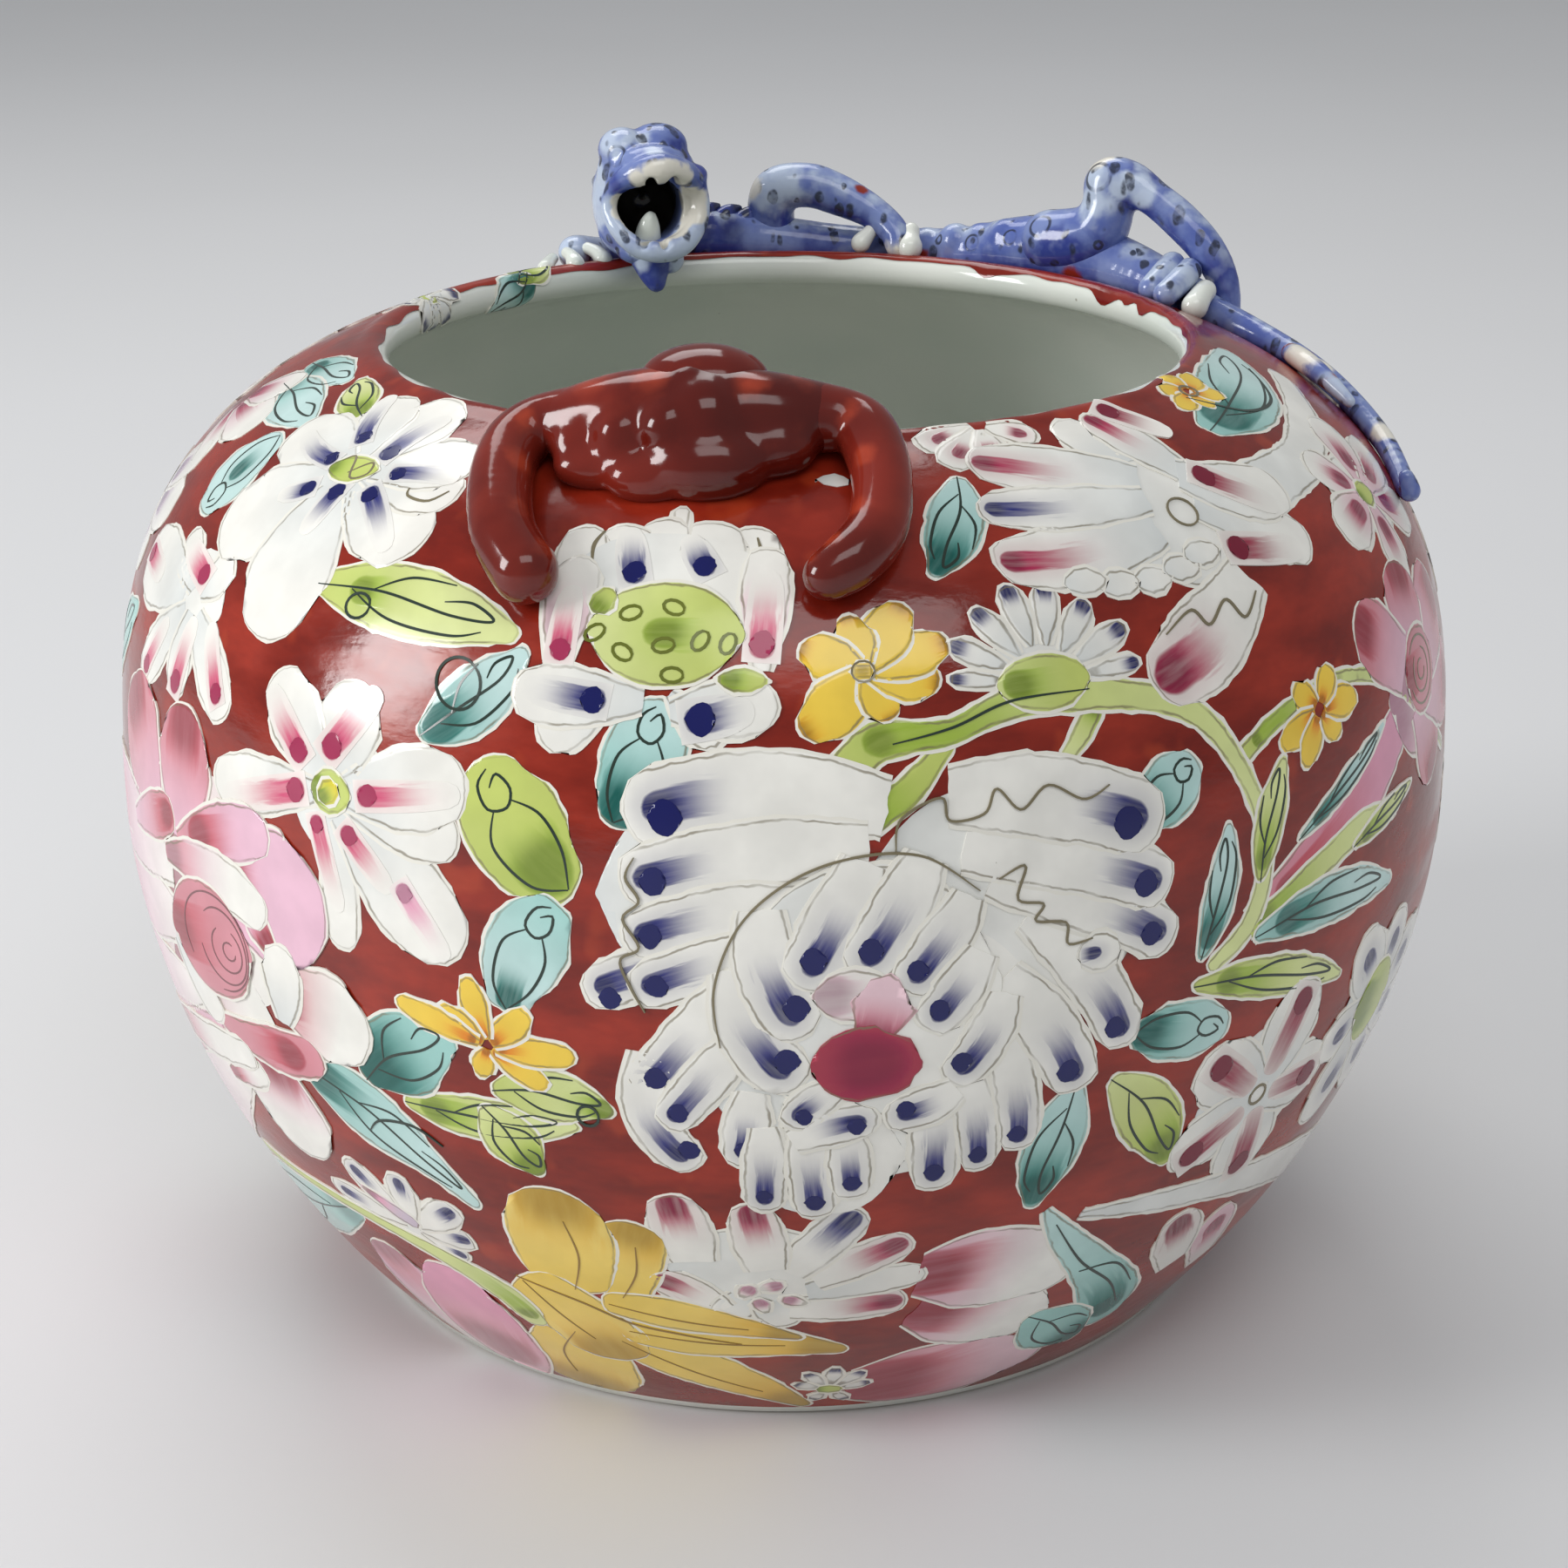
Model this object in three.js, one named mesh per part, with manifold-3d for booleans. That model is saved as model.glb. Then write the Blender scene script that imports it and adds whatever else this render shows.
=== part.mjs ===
// A globular porcelain brush washer: one thrown and turned bowl with an incurved mouth,
// a hand-modelled dragon crawling round the back of the rim, and a bat draped over the front of it.
// Each applied piece is rolled or pinched from its own lump of clay and luted on with slip.
// Millimetres, +Z up, origin on the table under the middle of the foot. The bat faces -Y.
import * as THREE from "three";
import { mergeVertices } from "three/addons/utils/BufferGeometryUtils.js";
import Module from "manifold-3d";

const wasm = await Module();
wasm.setup();

// The bowl
const BELLY_RADIUS = 75;
const BELLY_HEIGHT = 57.3;
const SHOULDER_RISE = 54.2; // the upper curve would close this far above the belly
const SHOULDER_POWER = 3;
const UNDERSIDE_FALL = 83.7; // the lower curve would close this far under the belly
const UNDERSIDE_POWER = 1.76;
const MOUTH_RADIUS = 46; // where the outer curve ends and the lip's roll begins
const WALL = 4;
const FLOOR_HEIGHT = 6.5; // the inside floor above the table
const FOOT_OUTER_RADIUS = 49.2;
const FOOT_INNER_RADIUS = 45.4;
const FOOT_CHAMFER = 0.9;
const BASE_RECESS = 2.6; // the glazed base inside the foot ring
const FLOOR_FILLET = 1; // the wall's inside curve ends this far above the floor
const FLOOR_FLAT = 0.86; // the flat part of the floor, as a share of its width
const FLOOR_DISH = 0.2; // the flat part's edge is this much higher than its middle
const BOWL_SIDES = 48;
const LOWER_STEPS = 9;
const UPPER_STEPS = 9;
const LIP_STEPS = 4;

// The applied pieces
const LUTING_GAP = 0.3; // the line of slip between two pieces
const COIL_SIDES = 8;
const DOME_STEPS = 2; // rings that round a coil's end
const LUMP_SIDES = 12;
const LUMP_RINGS = 8;
const HEAD = { azimuth: 201.5, radius: 43.6, rise: 6.7, yaw: 15 }; // yaw 0 would face the front
const WELD = 1e-4; // points closer than this are one point

const GLAZE = {
  ironRed: { color: 0x8c2318, roughness: 0.16 },
  porcelain: { color: 0xe9e8dc, roughness: 0.14 },
  blue: { color: 0x4a60b8, roughness: 0.15 },
  paleBlue: { color: 0x9fb0da, roughness: 0.15 },
  batRed: { color: 0x8a1c10, roughness: 0.14 },
};

const radians = THREE.MathUtils.degToRad;

// A closed mesh as a solid that can be cut and joined.
function solidOf(geometry) {
  const bare = new THREE.BufferGeometry().setAttribute("position", geometry.getAttribute("position"));
  bare.setIndex(geometry.index);
  const merged = mergeVertices(bare, WELD);
  const mesh = new wasm.Mesh({
    numProp: 3,
    vertProperties: merged.attributes.position.array,
    triVerts: new Uint32Array(merged.index.array),
  });
  return new wasm.Manifold(mesh);
}

// A solid as a mesh's geometry.
function geometryOf(solid) {
  const { vertProperties, triVerts, numProp, numVert } = solid.getMesh();
  const positions = new Float32Array(numVert * 3);
  for (let i = 0; i < numVert; i++) {
    positions.set(vertProperties.subarray(i * numProp, i * numProp + 3), i * 3);
  }
  const geometry = new THREE.BufferGeometry()
    .setAttribute("position", new THREE.BufferAttribute(positions, 3))
    .setIndex(new THREE.BufferAttribute(triVerts, 1));
  const faceted = geometry.toNonIndexed();
  faceted.computeVertexNormals();
  return faceted;
}

// The outer curve: two quarters of a rounded square, meeting at the belly.
function shoulderPoint(angle) {
  return new THREE.Vector2(
    BELLY_RADIUS * Math.cos(angle) ** (2 / SHOULDER_POWER),
    BELLY_HEIGHT + SHOULDER_RISE * Math.sin(angle) ** (2 / SHOULDER_POWER),
  );
}

function undersidePoint(angle) {
  return new THREE.Vector2(
    BELLY_RADIUS * Math.cos(angle) ** (2 / UNDERSIDE_POWER),
    BELLY_HEIGHT - UNDERSIDE_FALL * Math.sin(angle) ** (2 / UNDERSIDE_POWER),
  );
}

// The height of the shoulder's surface at a distance from the axis. Over the mouth it is the lip's height.
function surfaceHeight(radius) {
  const share = Math.max(radius, MOUTH_RADIUS) / BELLY_RADIUS;
  return BELLY_HEIGHT + SHOULDER_RISE * (1 - share ** SHOULDER_POWER) ** (1 / SHOULDER_POWER);
}

// A point by its azimuth in degrees (0 at the front, growing towards +X), its distance from the axis,
// and its rise above the bowl's surface there.
function onBowl(azimuth, radius, rise) {
  const turn = radians(azimuth);
  return new THREE.Vector3(radius * Math.sin(turn), -radius * Math.cos(turn), surfaceHeight(radius) + rise);
}

// The left-hand normals of an open polyline, which point out of the bowl as it climbs from foot to mouth.
function outwardNormals(points) {
  return points.map((_, i) => {
    const along = points[Math.min(i + 1, points.length - 1)].clone().sub(points[Math.max(i - 1, 0)]);
    return new THREE.Vector2(along.y, -along.x).normalize();
  });
}

// The wall's section: from the axis under the base, up the outside, over the lip and down the inside.
function wallSection() {
  const footAngle = Math.asin(((BELLY_HEIGHT - FOOT_CHAMFER) / UNDERSIDE_FALL) ** (UNDERSIDE_POWER / 2));
  const mouthAngle = Math.acos((MOUTH_RADIUS / BELLY_RADIUS) ** (SHOULDER_POWER / 2));
  const outer = [];
  for (let i = 0; i <= LOWER_STEPS; i++) {
    outer.push(undersidePoint(footAngle * (1 - i / LOWER_STEPS)));
  }
  for (let i = 1; i <= UPPER_STEPS; i++) {
    outer.push(shoulderPoint((mouthAngle * i) / UPPER_STEPS));
  }
  const normals = outwardNormals(outer);
  const inner = outer.map((p, i) => p.clone().addScaledVector(normals[i], -WALL));

  const last = outer.length - 1;
  const lipMiddle = outer[last].clone().add(inner[last]).multiplyScalar(0.5);
  const lip = [];
  for (let i = 1; i < LIP_STEPS; i++) {
    const turn = (Math.PI * i) / LIP_STEPS;
    lip.push(outer[last].clone().rotateAround(lipMiddle, turn));
  }

  const foot = [
    new THREE.Vector2(0, BASE_RECESS),
    new THREE.Vector2(FOOT_INNER_RADIUS - BASE_RECESS / 2, BASE_RECESS),
    new THREE.Vector2(FOOT_INNER_RADIUS, 0),
    new THREE.Vector2(FOOT_OUTER_RADIUS, 0),
  ];
  const inside = inner.filter((p) => p.y > FLOOR_HEIGHT + FLOOR_FILLET).reverse();
  const floorRadius = inside[inside.length - 1].x * FLOOR_FLAT;
  const floor = [
    new THREE.Vector2(floorRadius, FLOOR_HEIGHT + FLOOR_DISH),
    new THREE.Vector2(0, FLOOR_HEIGHT),
  ];
  return [...foot, ...outer, ...lip, ...inside, ...floor];
}

// The bowl, with its wall thickened all over by the growth.
function bowl(grow) {
  const section = wallSection();
  const grown = section.map((p, i) => {
    if (p.x === 0) return new THREE.Vector2(0, p.y + (i === 0 ? -grow : grow));
    const along = section[i + 1].clone().sub(section[i - 1]);
    return p.clone().addScaledVector(new THREE.Vector2(along.y, -along.x).normalize(), grow);
  });
  return solidOf(new THREE.LatheGeometry(grown, BOWL_SIDES).rotateX(Math.PI / 2));
}

// A rolled coil of clay: a tube along a smooth curve, with its own radius at each point and rounded ends.
function coil(points, radii, rings, grow, sides = COIL_SIDES) {
  const curve = new THREE.CatmullRomCurve3(points, false, "centripetal");
  const { normals, binormals, tangents } = curve.computeFrenetFrames(rings, false);
  const girth = new THREE.SplineCurve(radii.map((radius, i) => new THREE.Vector2(i, radius)));
  const radiusAt = (u) => girth.getPoint(curve.getUtoTmapping(u)).y + grow;

  const sections = [];
  for (let j = DOME_STEPS; j > 0; j--) {
    const turn = (Math.PI / 2) * (j / (DOME_STEPS + 1));
    sections.push({ u: 0, shift: -Math.sin(turn), scale: Math.cos(turn) });
  }
  for (let i = 0; i <= rings; i++) sections.push({ u: i / rings, shift: 0, scale: 1 });
  for (let j = 1; j <= DOME_STEPS; j++) {
    const turn = (Math.PI / 2) * (j / (DOME_STEPS + 1));
    sections.push({ u: 1, shift: Math.sin(turn), scale: Math.cos(turn) });
  }

  const positions = [];
  const place = (v) => positions.push(v.x, v.y, v.z);
  for (const { u, shift, scale } of sections) {
    const i = Math.round(u * rings);
    const radius = radiusAt(u);
    const middle = curve.getPointAt(u).addScaledVector(tangents[i], shift * radius);
    for (let k = 0; k < sides; k++) {
      const a = (2 * Math.PI * k) / sides;
      const across = normals[i].clone().multiplyScalar(Math.cos(a) * radius * scale);
      const aside = binormals[i].clone().multiplyScalar(Math.sin(a) * radius * scale);
      place(across.add(aside).add(middle));
    }
  }
  const start = positions.length / 3;
  place(curve.getPointAt(0).addScaledVector(tangents[0], -radiusAt(0)));
  place(curve.getPointAt(1).addScaledVector(tangents[rings], radiusAt(1)));

  const faces = [];
  for (let s = 0; s < sections.length - 1; s++) {
    for (let k = 0; k < sides; k++) {
      const a = s * sides + k;
      const b = s * sides + ((k + 1) % sides);
      faces.push(a, b, a + sides, b, b + sides, a + sides);
    }
  }
  const lastRing = (sections.length - 1) * sides;
  for (let k = 0; k < sides; k++) {
    const next = (k + 1) % sides;
    faces.push(start, next, k);
    faces.push(start + 1, lastRing + k, lastRing + next);
  }
  const geometry = new THREE.BufferGeometry()
    .setAttribute("position", new THREE.Float32BufferAttribute(positions, 3))
    .setIndex(faces);
  return solidOf(geometry);
}

// A coil on the bowl, from a row of [azimuth, radius, rise, coil radius] for each of its points.
function coilOnBowl(rows, rings, sides) {
  const points = rows.map(([azimuth, radius, rise]) => onBowl(azimuth, radius, rise));
  const radii = rows.map((row) => row[3]);
  return (grow) => coil(points, radii, rings, grow, sides);
}

// A pinched lump: an ellipsoid with half-lengths [x, y, z], turned by yaw degrees about Z.
function lump(middle, halves, grow, yaw) {
  const geometry = new THREE.SphereGeometry(1, LUMP_SIDES, LUMP_RINGS)
    .scale(halves[0] + grow, halves[1] + grow, halves[2] + grow)
    .rotateZ(radians(yaw))
    .translate(middle.x, middle.y, middle.z);
  return solidOf(geometry);
}

const washer = new THREE.Group();
const laid = []; // the pieces already in place, each grown by the gap

// Adds one piece: what make(0) gives, cut back by the gap from every piece laid before it.
function lute(name, glaze, make, parent = washer) {
  let solid = make(0);
  for (const neighbour of laid) solid = solid.subtract(neighbour);
  const largest = solid.decompose().reduce((a, b) => (b.volume() > a.volume() ? b : a));
  laid.push(make(LUTING_GAP));
  const material = new THREE.MeshStandardMaterial({ ...glaze, metalness: 0 });
  const mesh = new THREE.Mesh(geometryOf(largest), material);
  mesh.name = name;
  parent.add(mesh);
}

lute("bowl", GLAZE.ironRed, bowl);

// The dragon: a coil laid on the shoulder just outside the lip, from the neck behind the head to the rump.
const dragon = new THREE.Group();
washer.add(dragon);

const TRUNK = [
  [199, 47.6, 3.8, 3.4],
  [191, 49.6, 2.5, 3.3],
  [182, 50.6, 1.8, 3.4],
  [172, 51.4, 1.3, 3.0],
  [162, 51.2, 1.2, 3.0],
  [153, 50.4, 1.5, 3.2],
  [145, 50.0, 2.7, 3.8],
  [137.5, 50.4, 3.3, 4.2],
  [128, 52.0, 2.6, 3.7],
  [118, 54.4, 1.7, 2.7],
];

// The tail leaves the rump, runs down the shoulder and ends in a small curl.
const TAIL = [
  [116, 55.4, 1.1, 2.2],
  [109.5, 58.0, 1.1, 1.8],
  [103.5, 60.2, 1.3, 1.6],
  [98, 62.3, 1.4, 1.5],
  [93.4, 64.6, 1.4, 1.4],
  [88.5, 66.5, 1.5, 1.3],
  [84, 67.6, 1.4, 1.2],
  [80.6, 68.5, 1.3, 1.2],
  [78.4, 69.0, 2.5, 1.1],
  [78.2, 68.4, 3.1, 0.9],
];

// The tail's fork, a short lock lying on the shoulder.
const TAIL_LOCK = [
  [100.5, 59.0, 1.3, 1.2],
  [96.5, 59.2, 1.4, 1.3],
  [92.6, 60.6, 1.5, 1.1],
  [89.4, 62.8, 1.5, 0.7],
];

lute("dragon_trunk", GLAZE.blue, coilOnBowl(TRUNK, 18, 10), dragon);

// The legs, each from its root in the trunk to the paw. The inner two arch over the lip's side of the trunk.
const FORELEG_INNER = [
  [181.8, 51.4, 3.7, 3.1],
  [181.2, 50.3, 7, 3.1],
  [177, 50.0, 8, 3.0],
  [172.2, 49.8, 7.2, 2.5],
  [167, 48.9, 5.3, 2.1],
  [163.4, 47.6, 2.9, 1.9],
  [162.4, 46.6, 1.1, 1.7],
];
const FORELEG_OUTER = [
  [190, 53, 2.2, 2.9],
  [197, 55.6, 2.6, 2.7],
  [204, 54.6, 2, 2.5],
  [209.6, 51.4, 1.9, 2.3],
  [211, 50.0, 1.7, 2.1],
];
const HINDLEG_INNER = [
  [139.4, 48.9, 3.8, 4.1],
  [134.6, 49.7, 5.4, 4.3],
  [131.0, 51.2, 10.2, 3.4],
  [129.4, 52.2, 13.3, 2.8],
  [125.4, 53.6, 12.2, 2.4],
  [122.0, 55.2, 10.8, 2.5],
  [118.6, 56.7, 8.7, 2.4],
  [116.8, 58.0, 6.2, 1.9],
  [116.4, 58.6, 3.2, 1.7],
];
const HINDLEG_OUTER = [
  [142, 53.6, 3.5, 3.6],
  [146, 58.0, 4.8, 3.1],
  [145, 62.4, 4.8, 2.6],
  [138, 64.6, 3.3, 2.3],
  [131, 66.2, 2.8, 2.1],
  [127.5, 67.0, 2.5, 1.9],
];
lute("dragon_hindleg_inner", GLAZE.blue, coilOnBowl(HINDLEG_INNER, 18), dragon);
lute("dragon_hindleg_outer", GLAZE.blue, coilOnBowl(HINDLEG_OUTER, 10), dragon);
lute("dragon_foreleg_inner", GLAZE.blue, coilOnBowl(FORELEG_INNER, 12), dragon);
lute("dragon_foreleg_outer", GLAZE.blue, coilOnBowl(FORELEG_OUTER, 8), dragon);
lute("dragon_tail", GLAZE.blue, coilOnBowl(TAIL, 22), dragon);
lute("dragon_tail_lock", GLAZE.paleBlue, coilOnBowl(TAIL_LOCK, 5, 6), dragon);

// The head: a hollow lump with a gaping mouth that looks over the lip into the basin. Its points are in its
// own frame, with the origin in the head's middle, -Y out of the mouth and +X towards the tail.
const HEAD_LUMP = { middle: [0, 1.5, 0.8], halves: [7.0, 7.4, 9.0] };
const BROW = { middle: [2.9, -2.0, 7.0], halves: [2.5, 2.6, 1.9] };
const SNOUT = { middle: [0.2, -4.6, 4.4], halves: [3.4, 3.0, 2.2] };
const GAPE = { middle: [0, -4.6, -0.9], halves: [4.5, 8.2, 4.3] };
const JAW_SPLIT = -1.9; // the skull ends at this height, and the jaw begins
const HEAD_REACH = 20; // more than the head's half-length any way
const UPPER_LIP = [
  [-5.9, -2.2, -0.4, 1.3],
  [-4.4, -5.2, 2.3, 1.4],
  [0.2, -6.7, 3.8, 1.6],
  [4.6, -5.2, 2.3, 1.4],
  [6.0, -2.2, -0.4, 1.3],
];
const LOWER_LIP = [
  [-6.1, -1.4, -2.4, 1.3],
  [-4.8, -5.0, -4.7, 1.5],
  [0, -6.6, -5.9, 1.6],
  [4.8, -5.0, -4.7, 1.5],
  [6.1, -1.4, -2.4, 1.3],
];

function inHead(x, y, z) {
  return new THREE.Vector3(x, y, z)
    .applyAxisAngle(new THREE.Vector3(0, 0, 1), radians(HEAD.yaw))
    .add(onBowl(HEAD.azimuth, HEAD.radius, HEAD.rise));
}

function headLump({ middle, halves }, grow, side = 1) {
  return lump(inHead(middle[0] * side, middle[1], middle[2]), halves, grow, HEAD.yaw);
}

// A slab that fills the head's space from one height to another.
function headSlab(low, high) {
  const slab = new THREE.BoxGeometry(2 * HEAD_REACH, 2 * HEAD_REACH, high - low);
  const { x, y, z } = inHead(0, 0, (low + high) / 2);
  return solidOf(slab.rotateZ(radians(HEAD.yaw)).translate(x, y, z));
}

// A coil in the head, from a row of [x, y, z, coil radius] for each of its points.
function headCoil(rows, rings, sides) {
  const points = rows.map(([x, y, z]) => inHead(x, y, z));
  const radii = rows.map((row) => row[3]);
  return (grow) => coil(points, radii, rings, grow, sides);
}

function skull(grow) {
  return headLump(HEAD_LUMP, grow)
    .add(headLump(BROW, grow, -1))
    .add(headLump(BROW, grow, 1))
    .add(headLump(SNOUT, grow))
    .add(headCoil(UPPER_LIP, 10)(grow))
    .subtract(headLump(GAPE, -grow))
    .intersect(headSlab(JAW_SPLIT - grow, HEAD_REACH));
}

function lowerJaw(grow) {
  return headLump(HEAD_LUMP, grow)
    .add(headCoil(LOWER_LIP, 10)(grow))
    .subtract(headLump(GAPE, -grow))
    .intersect(headSlab(-HEAD_REACH, JAW_SPLIT));
}

lute("dragon_skull", GLAZE.blue, skull, dragon);
lute("dragon_lower_jaw", GLAZE.paleBlue, lowerJaw, dragon);

const TONGUE = [
  [-0.4, -2.6, -5.4, 1.7],
  [-0.4, -3.2, -3.6, 1.4],
  [-0.4, -3.6, -2.2, 0.8],
];
const BEARD = [
  [0.2, -3.4, -7.2, 2.2],
  [0.3, -3.9, -9.4, 1.9],
  [0.4, -4.3, -11.0, 1.2],
];
lute("dragon_tongue", GLAZE.porcelain, headCoil(TONGUE, 4), dragon);
lute("dragon_beard", GLAZE.blue, headCoil(BEARD, 4), dragon);

// An ear on each side of the head, laid back, and three locks of mane on the neck.
const SIDES = [
  [-1, "left"],
  [1, "right"],
];
for (const [side, where] of SIDES) {
  const ear = [
    [4.6 * side, 6.2, 1.6, 1.5],
    [4.6 * side, 8.6, 1.4, 1.2],
    [4.0 * side, 10.6, 1.6, 0.7],
  ];
  lute(`dragon_ear_${where}`, GLAZE.paleBlue, headCoil(ear, 3, 6), dragon);
}

const MANE_LOCKS = 3;
const MANE_START = 191;
const MANE_STEP = 3;
const MANE_FALL = 0.3; // each lock sits this much lower than the one before it
for (let i = 0; i < MANE_LOCKS; i++) {
  const azimuth = MANE_START - MANE_STEP * i;
  const fall = MANE_FALL * i;
  const lock = [
    [azimuth + 1.6, 49.6, 4.5 - fall, 1.4],
    [azimuth, 50.0, 5.7 - fall, 1.1],
    [azimuth - 1.6, 50.6, 6.4 - fall, 0.5],
  ];
  lute(`dragon_mane_lock_${i + 1}`, GLAZE.blue, coilOnBowl(lock, 3, 6), dragon);
}

// Each paw's claws, and the hind paw's two long toes that grip the lip.
const CLAWS = {
  foreleg_inner_claw_1: [[160.9, 47.2, 3, 1.3], [160.4, 45.4, 0.9, 1.4]],
  foreleg_inner_claw_2: [[167.3, 47.0, 3.3, 1.1], [169.4, 45.4, 1.3, 1.0]],
  foreleg_outer_claw_1: [[213.0, 48.8, 1.4, 0.9], [213.6, 46.8, 0.9, 0.8]],
  foreleg_outer_claw_2: [[214.0, 51.0, 1.3, 0.9], [216.0, 49.6, 0.9, 0.8]],
  foreleg_outer_claw_3: [[210.0, 48.2, 1.6, 0.9], [209.4, 46.4, 1, 0.8]],
  hindleg_inner_toe_1: [[120.1, 53.0, 4.8, 1.6], [118.4, 50.6, 3.2, 1.6], [117.2, 48.4, 1.4, 1.3]],
  hindleg_inner_toe_2: [[118.0, 54.0, 4.8, 1.6], [115.9, 51.4, 3.1, 1.6], [114.5, 49.0, 1.3, 1.3]],
  hindleg_inner_claw: [[115.2, 54.4, 3.1, 1.3], [112.6, 52.8, 2.2, 1.4]],
  hindleg_outer_claw_1: [[125.6, 66.4, 3, 0.9], [122.8, 66.6, 3, 0.8]],
  hindleg_outer_claw_2: [[126.0, 67.8, 3.1, 0.9], [123.4, 68.4, 2.9, 0.8]],
  hindleg_outer_claw_3: [[128.4, 68.4, 2.5, 0.9], [127.2, 69.4, 2.2, 0.8]],
};
for (const [name, rows] of Object.entries(CLAWS)) {
  const glaze = name.includes("toe") ? GLAZE.paleBlue : GLAZE.porcelain;
  lute(`dragon_${name}`, glaze, coilOnBowl(rows, 3, 6), dragon);
}

// The bat: a lump that straddles the lip, a head that looks into the basin, and two wings that curl down
// the shoulder.
const bat = new THREE.Group();
washer.add(bat);

const BAT_SHOULDERS = [
  [-26.5, 50.2, 2.2, 3.1],
  [-18.5, 49.4, 3.3, 4.3],
  [-10.5, 49.0, 3.5, 5.0],
  [-2.0, 48.4, 3.3, 4.4],
  [6.2, 47.6, 2.6, 3.1],
];
const BAT_BELLY = { azimuth: -9.8, radius: 53.0, rise: 2.6, halves: [8.6, 4.8, 4.5] };
const BAT_BACK = { azimuth: -11.5, radius: 46.8, rise: 3.9, halves: [6.2, 4.4, 3.8] };

function batLump({ azimuth, radius, rise, halves }, grow) {
  return lump(onBowl(azimuth, radius, rise), halves, grow, azimuth);
}

function batBody(grow) {
  return coilOnBowl(BAT_SHOULDERS, 14, 10)(grow).add(batLump(BAT_BELLY, grow)).add(batLump(BAT_BACK, grow));
}

const BAT_HEAD = [
  [-9.0, 46.0, 4.5, 3.4],
  [-8.9, 43.0, 4.7, 3.4],
  [-8.7, 40.4, 3.4, 2.2],
];
const BAT_WING_LEFT = [
  [-27.4, 50.4, 2.3, 3.1],
  [-29.2, 53.4, 2.1, 3.1],
  [-27.8, 57.9, 2.2, 3.2],
  [-24.9, 62.8, 2.8, 3.3],
  [-21.6, 65.6, 3.1, 3.3],
];
const BAT_WING_RIGHT = [
  [7.2, 48.2, 2.6, 3.1],
  [9.2, 50.8, 2.5, 3.1],
  [9.5, 56.0, 2.3, 3.0],
  [8.1, 61.0, 2.5, 3.0],
  [5.6, 63.8, 3, 2.9],
  [3.6, 64.8, 2.9, 2.5],
];
lute("bat_body", GLAZE.batRed, batBody, bat);
lute("bat_head", GLAZE.batRed, coilOnBowl(BAT_HEAD, 6), bat);
lute("bat_wing_left", GLAZE.batRed, coilOnBowl(BAT_WING_LEFT, 12), bat);
lute("bat_wing_right", GLAZE.batRed, coilOnBowl(BAT_WING_RIGHT, 13), bat);

const BAT_HEAD_AZIMUTH = -9;
for (const [side, where] of SIDES) {
  const ear = [
    [BAT_HEAD_AZIMUTH + 2.8 * side, 43.8, 6.6, 1.2],
    [BAT_HEAD_AZIMUTH + 3.6 * side, 44.0, 7.9, 0.7],
  ];
  lute(`bat_ear_${where}`, GLAZE.batRed, coilOnBowl(ear, 2, 6), bat);
}

export default washer;
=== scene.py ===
import math
from collections import namedtuple

import bmesh
import bpy
import numpy as np
from mathutils import Matrix, Vector, noise


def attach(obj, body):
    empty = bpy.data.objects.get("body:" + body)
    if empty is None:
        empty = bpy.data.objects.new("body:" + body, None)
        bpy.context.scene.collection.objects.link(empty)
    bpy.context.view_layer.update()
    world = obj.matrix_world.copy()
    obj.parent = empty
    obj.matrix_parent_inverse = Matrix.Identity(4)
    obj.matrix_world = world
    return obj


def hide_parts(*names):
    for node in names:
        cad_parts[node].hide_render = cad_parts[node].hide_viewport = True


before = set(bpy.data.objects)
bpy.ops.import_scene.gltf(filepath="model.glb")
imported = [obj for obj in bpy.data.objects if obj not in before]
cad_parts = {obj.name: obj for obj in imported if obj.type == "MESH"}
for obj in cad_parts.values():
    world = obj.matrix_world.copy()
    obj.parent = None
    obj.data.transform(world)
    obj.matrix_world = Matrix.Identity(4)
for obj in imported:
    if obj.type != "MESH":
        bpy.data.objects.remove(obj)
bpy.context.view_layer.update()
MM = 0.001

# The camera and the room
# The washer stands on a pale table, seen from 363 mm away and 21 degrees above. A tall window of soft light
# stands at the left, and pale walls fill the rest.
CAMERA_PLACE = (0, -0.33901, 0.18214)
CAMERA_AIM = (0, 0, 0.0535)
CAMERA_LENS = 71.5
TABLE_SIZE = 6


def look(red, green, blue):
    """A colour given as it looks, 0 to 255 a channel, as the linear one that a shader takes."""
    shares = [c / 255 for c in (red, green, blue)]
    return tuple(s / 12.92 if s < 0.04045 else ((s + 0.055) / 1.055) ** 2.4 for s in shares) + (1,)


def linked(name, data):
    """A new object in the scene."""
    thing = bpy.data.objects.new(name, data)
    bpy.context.collection.objects.link(thing)
    return thing


def aim_at(thing, place, aim):
    thing.location = place
    thing.rotation_euler = (Vector(aim) - Vector(place)).to_track_quat("-Z", "Y").to_euler()


def window(name, place, aim, width, height, watts):
    light = bpy.data.lights.new(name, "AREA")
    light.shape = "RECTANGLE"
    light.size, light.size_y = width, height
    light.energy = watts
    aim_at(linked(name, light), place, aim)


lens = bpy.data.cameras.new("camera")
lens.lens, lens.sensor_width = CAMERA_LENS, 36
lens.clip_start, lens.clip_end = 0.01, 20
camera = linked("camera", lens)
aim_at(camera, CAMERA_PLACE, CAMERA_AIM)
bpy.context.scene.camera = camera
bpy.context.scene.view_settings.view_transform = "Standard"

window("left_window", (-0.85, -0.3, 0.42), (0, 0, 0.06), 0.3, 0.42, 5.2)
window("front_fill", (0.15, -0.7, 1.1), (0, 0, 0.05), 0.8, 0.5, 3.4)
window("back_top", (-0.15, 0.5, 0.8), (0, 0, 0.08), 0.6, 0.4, 2.6)

room = bpy.data.worlds.new("room")
room.use_nodes = True
bpy.context.scene.world = room


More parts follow.
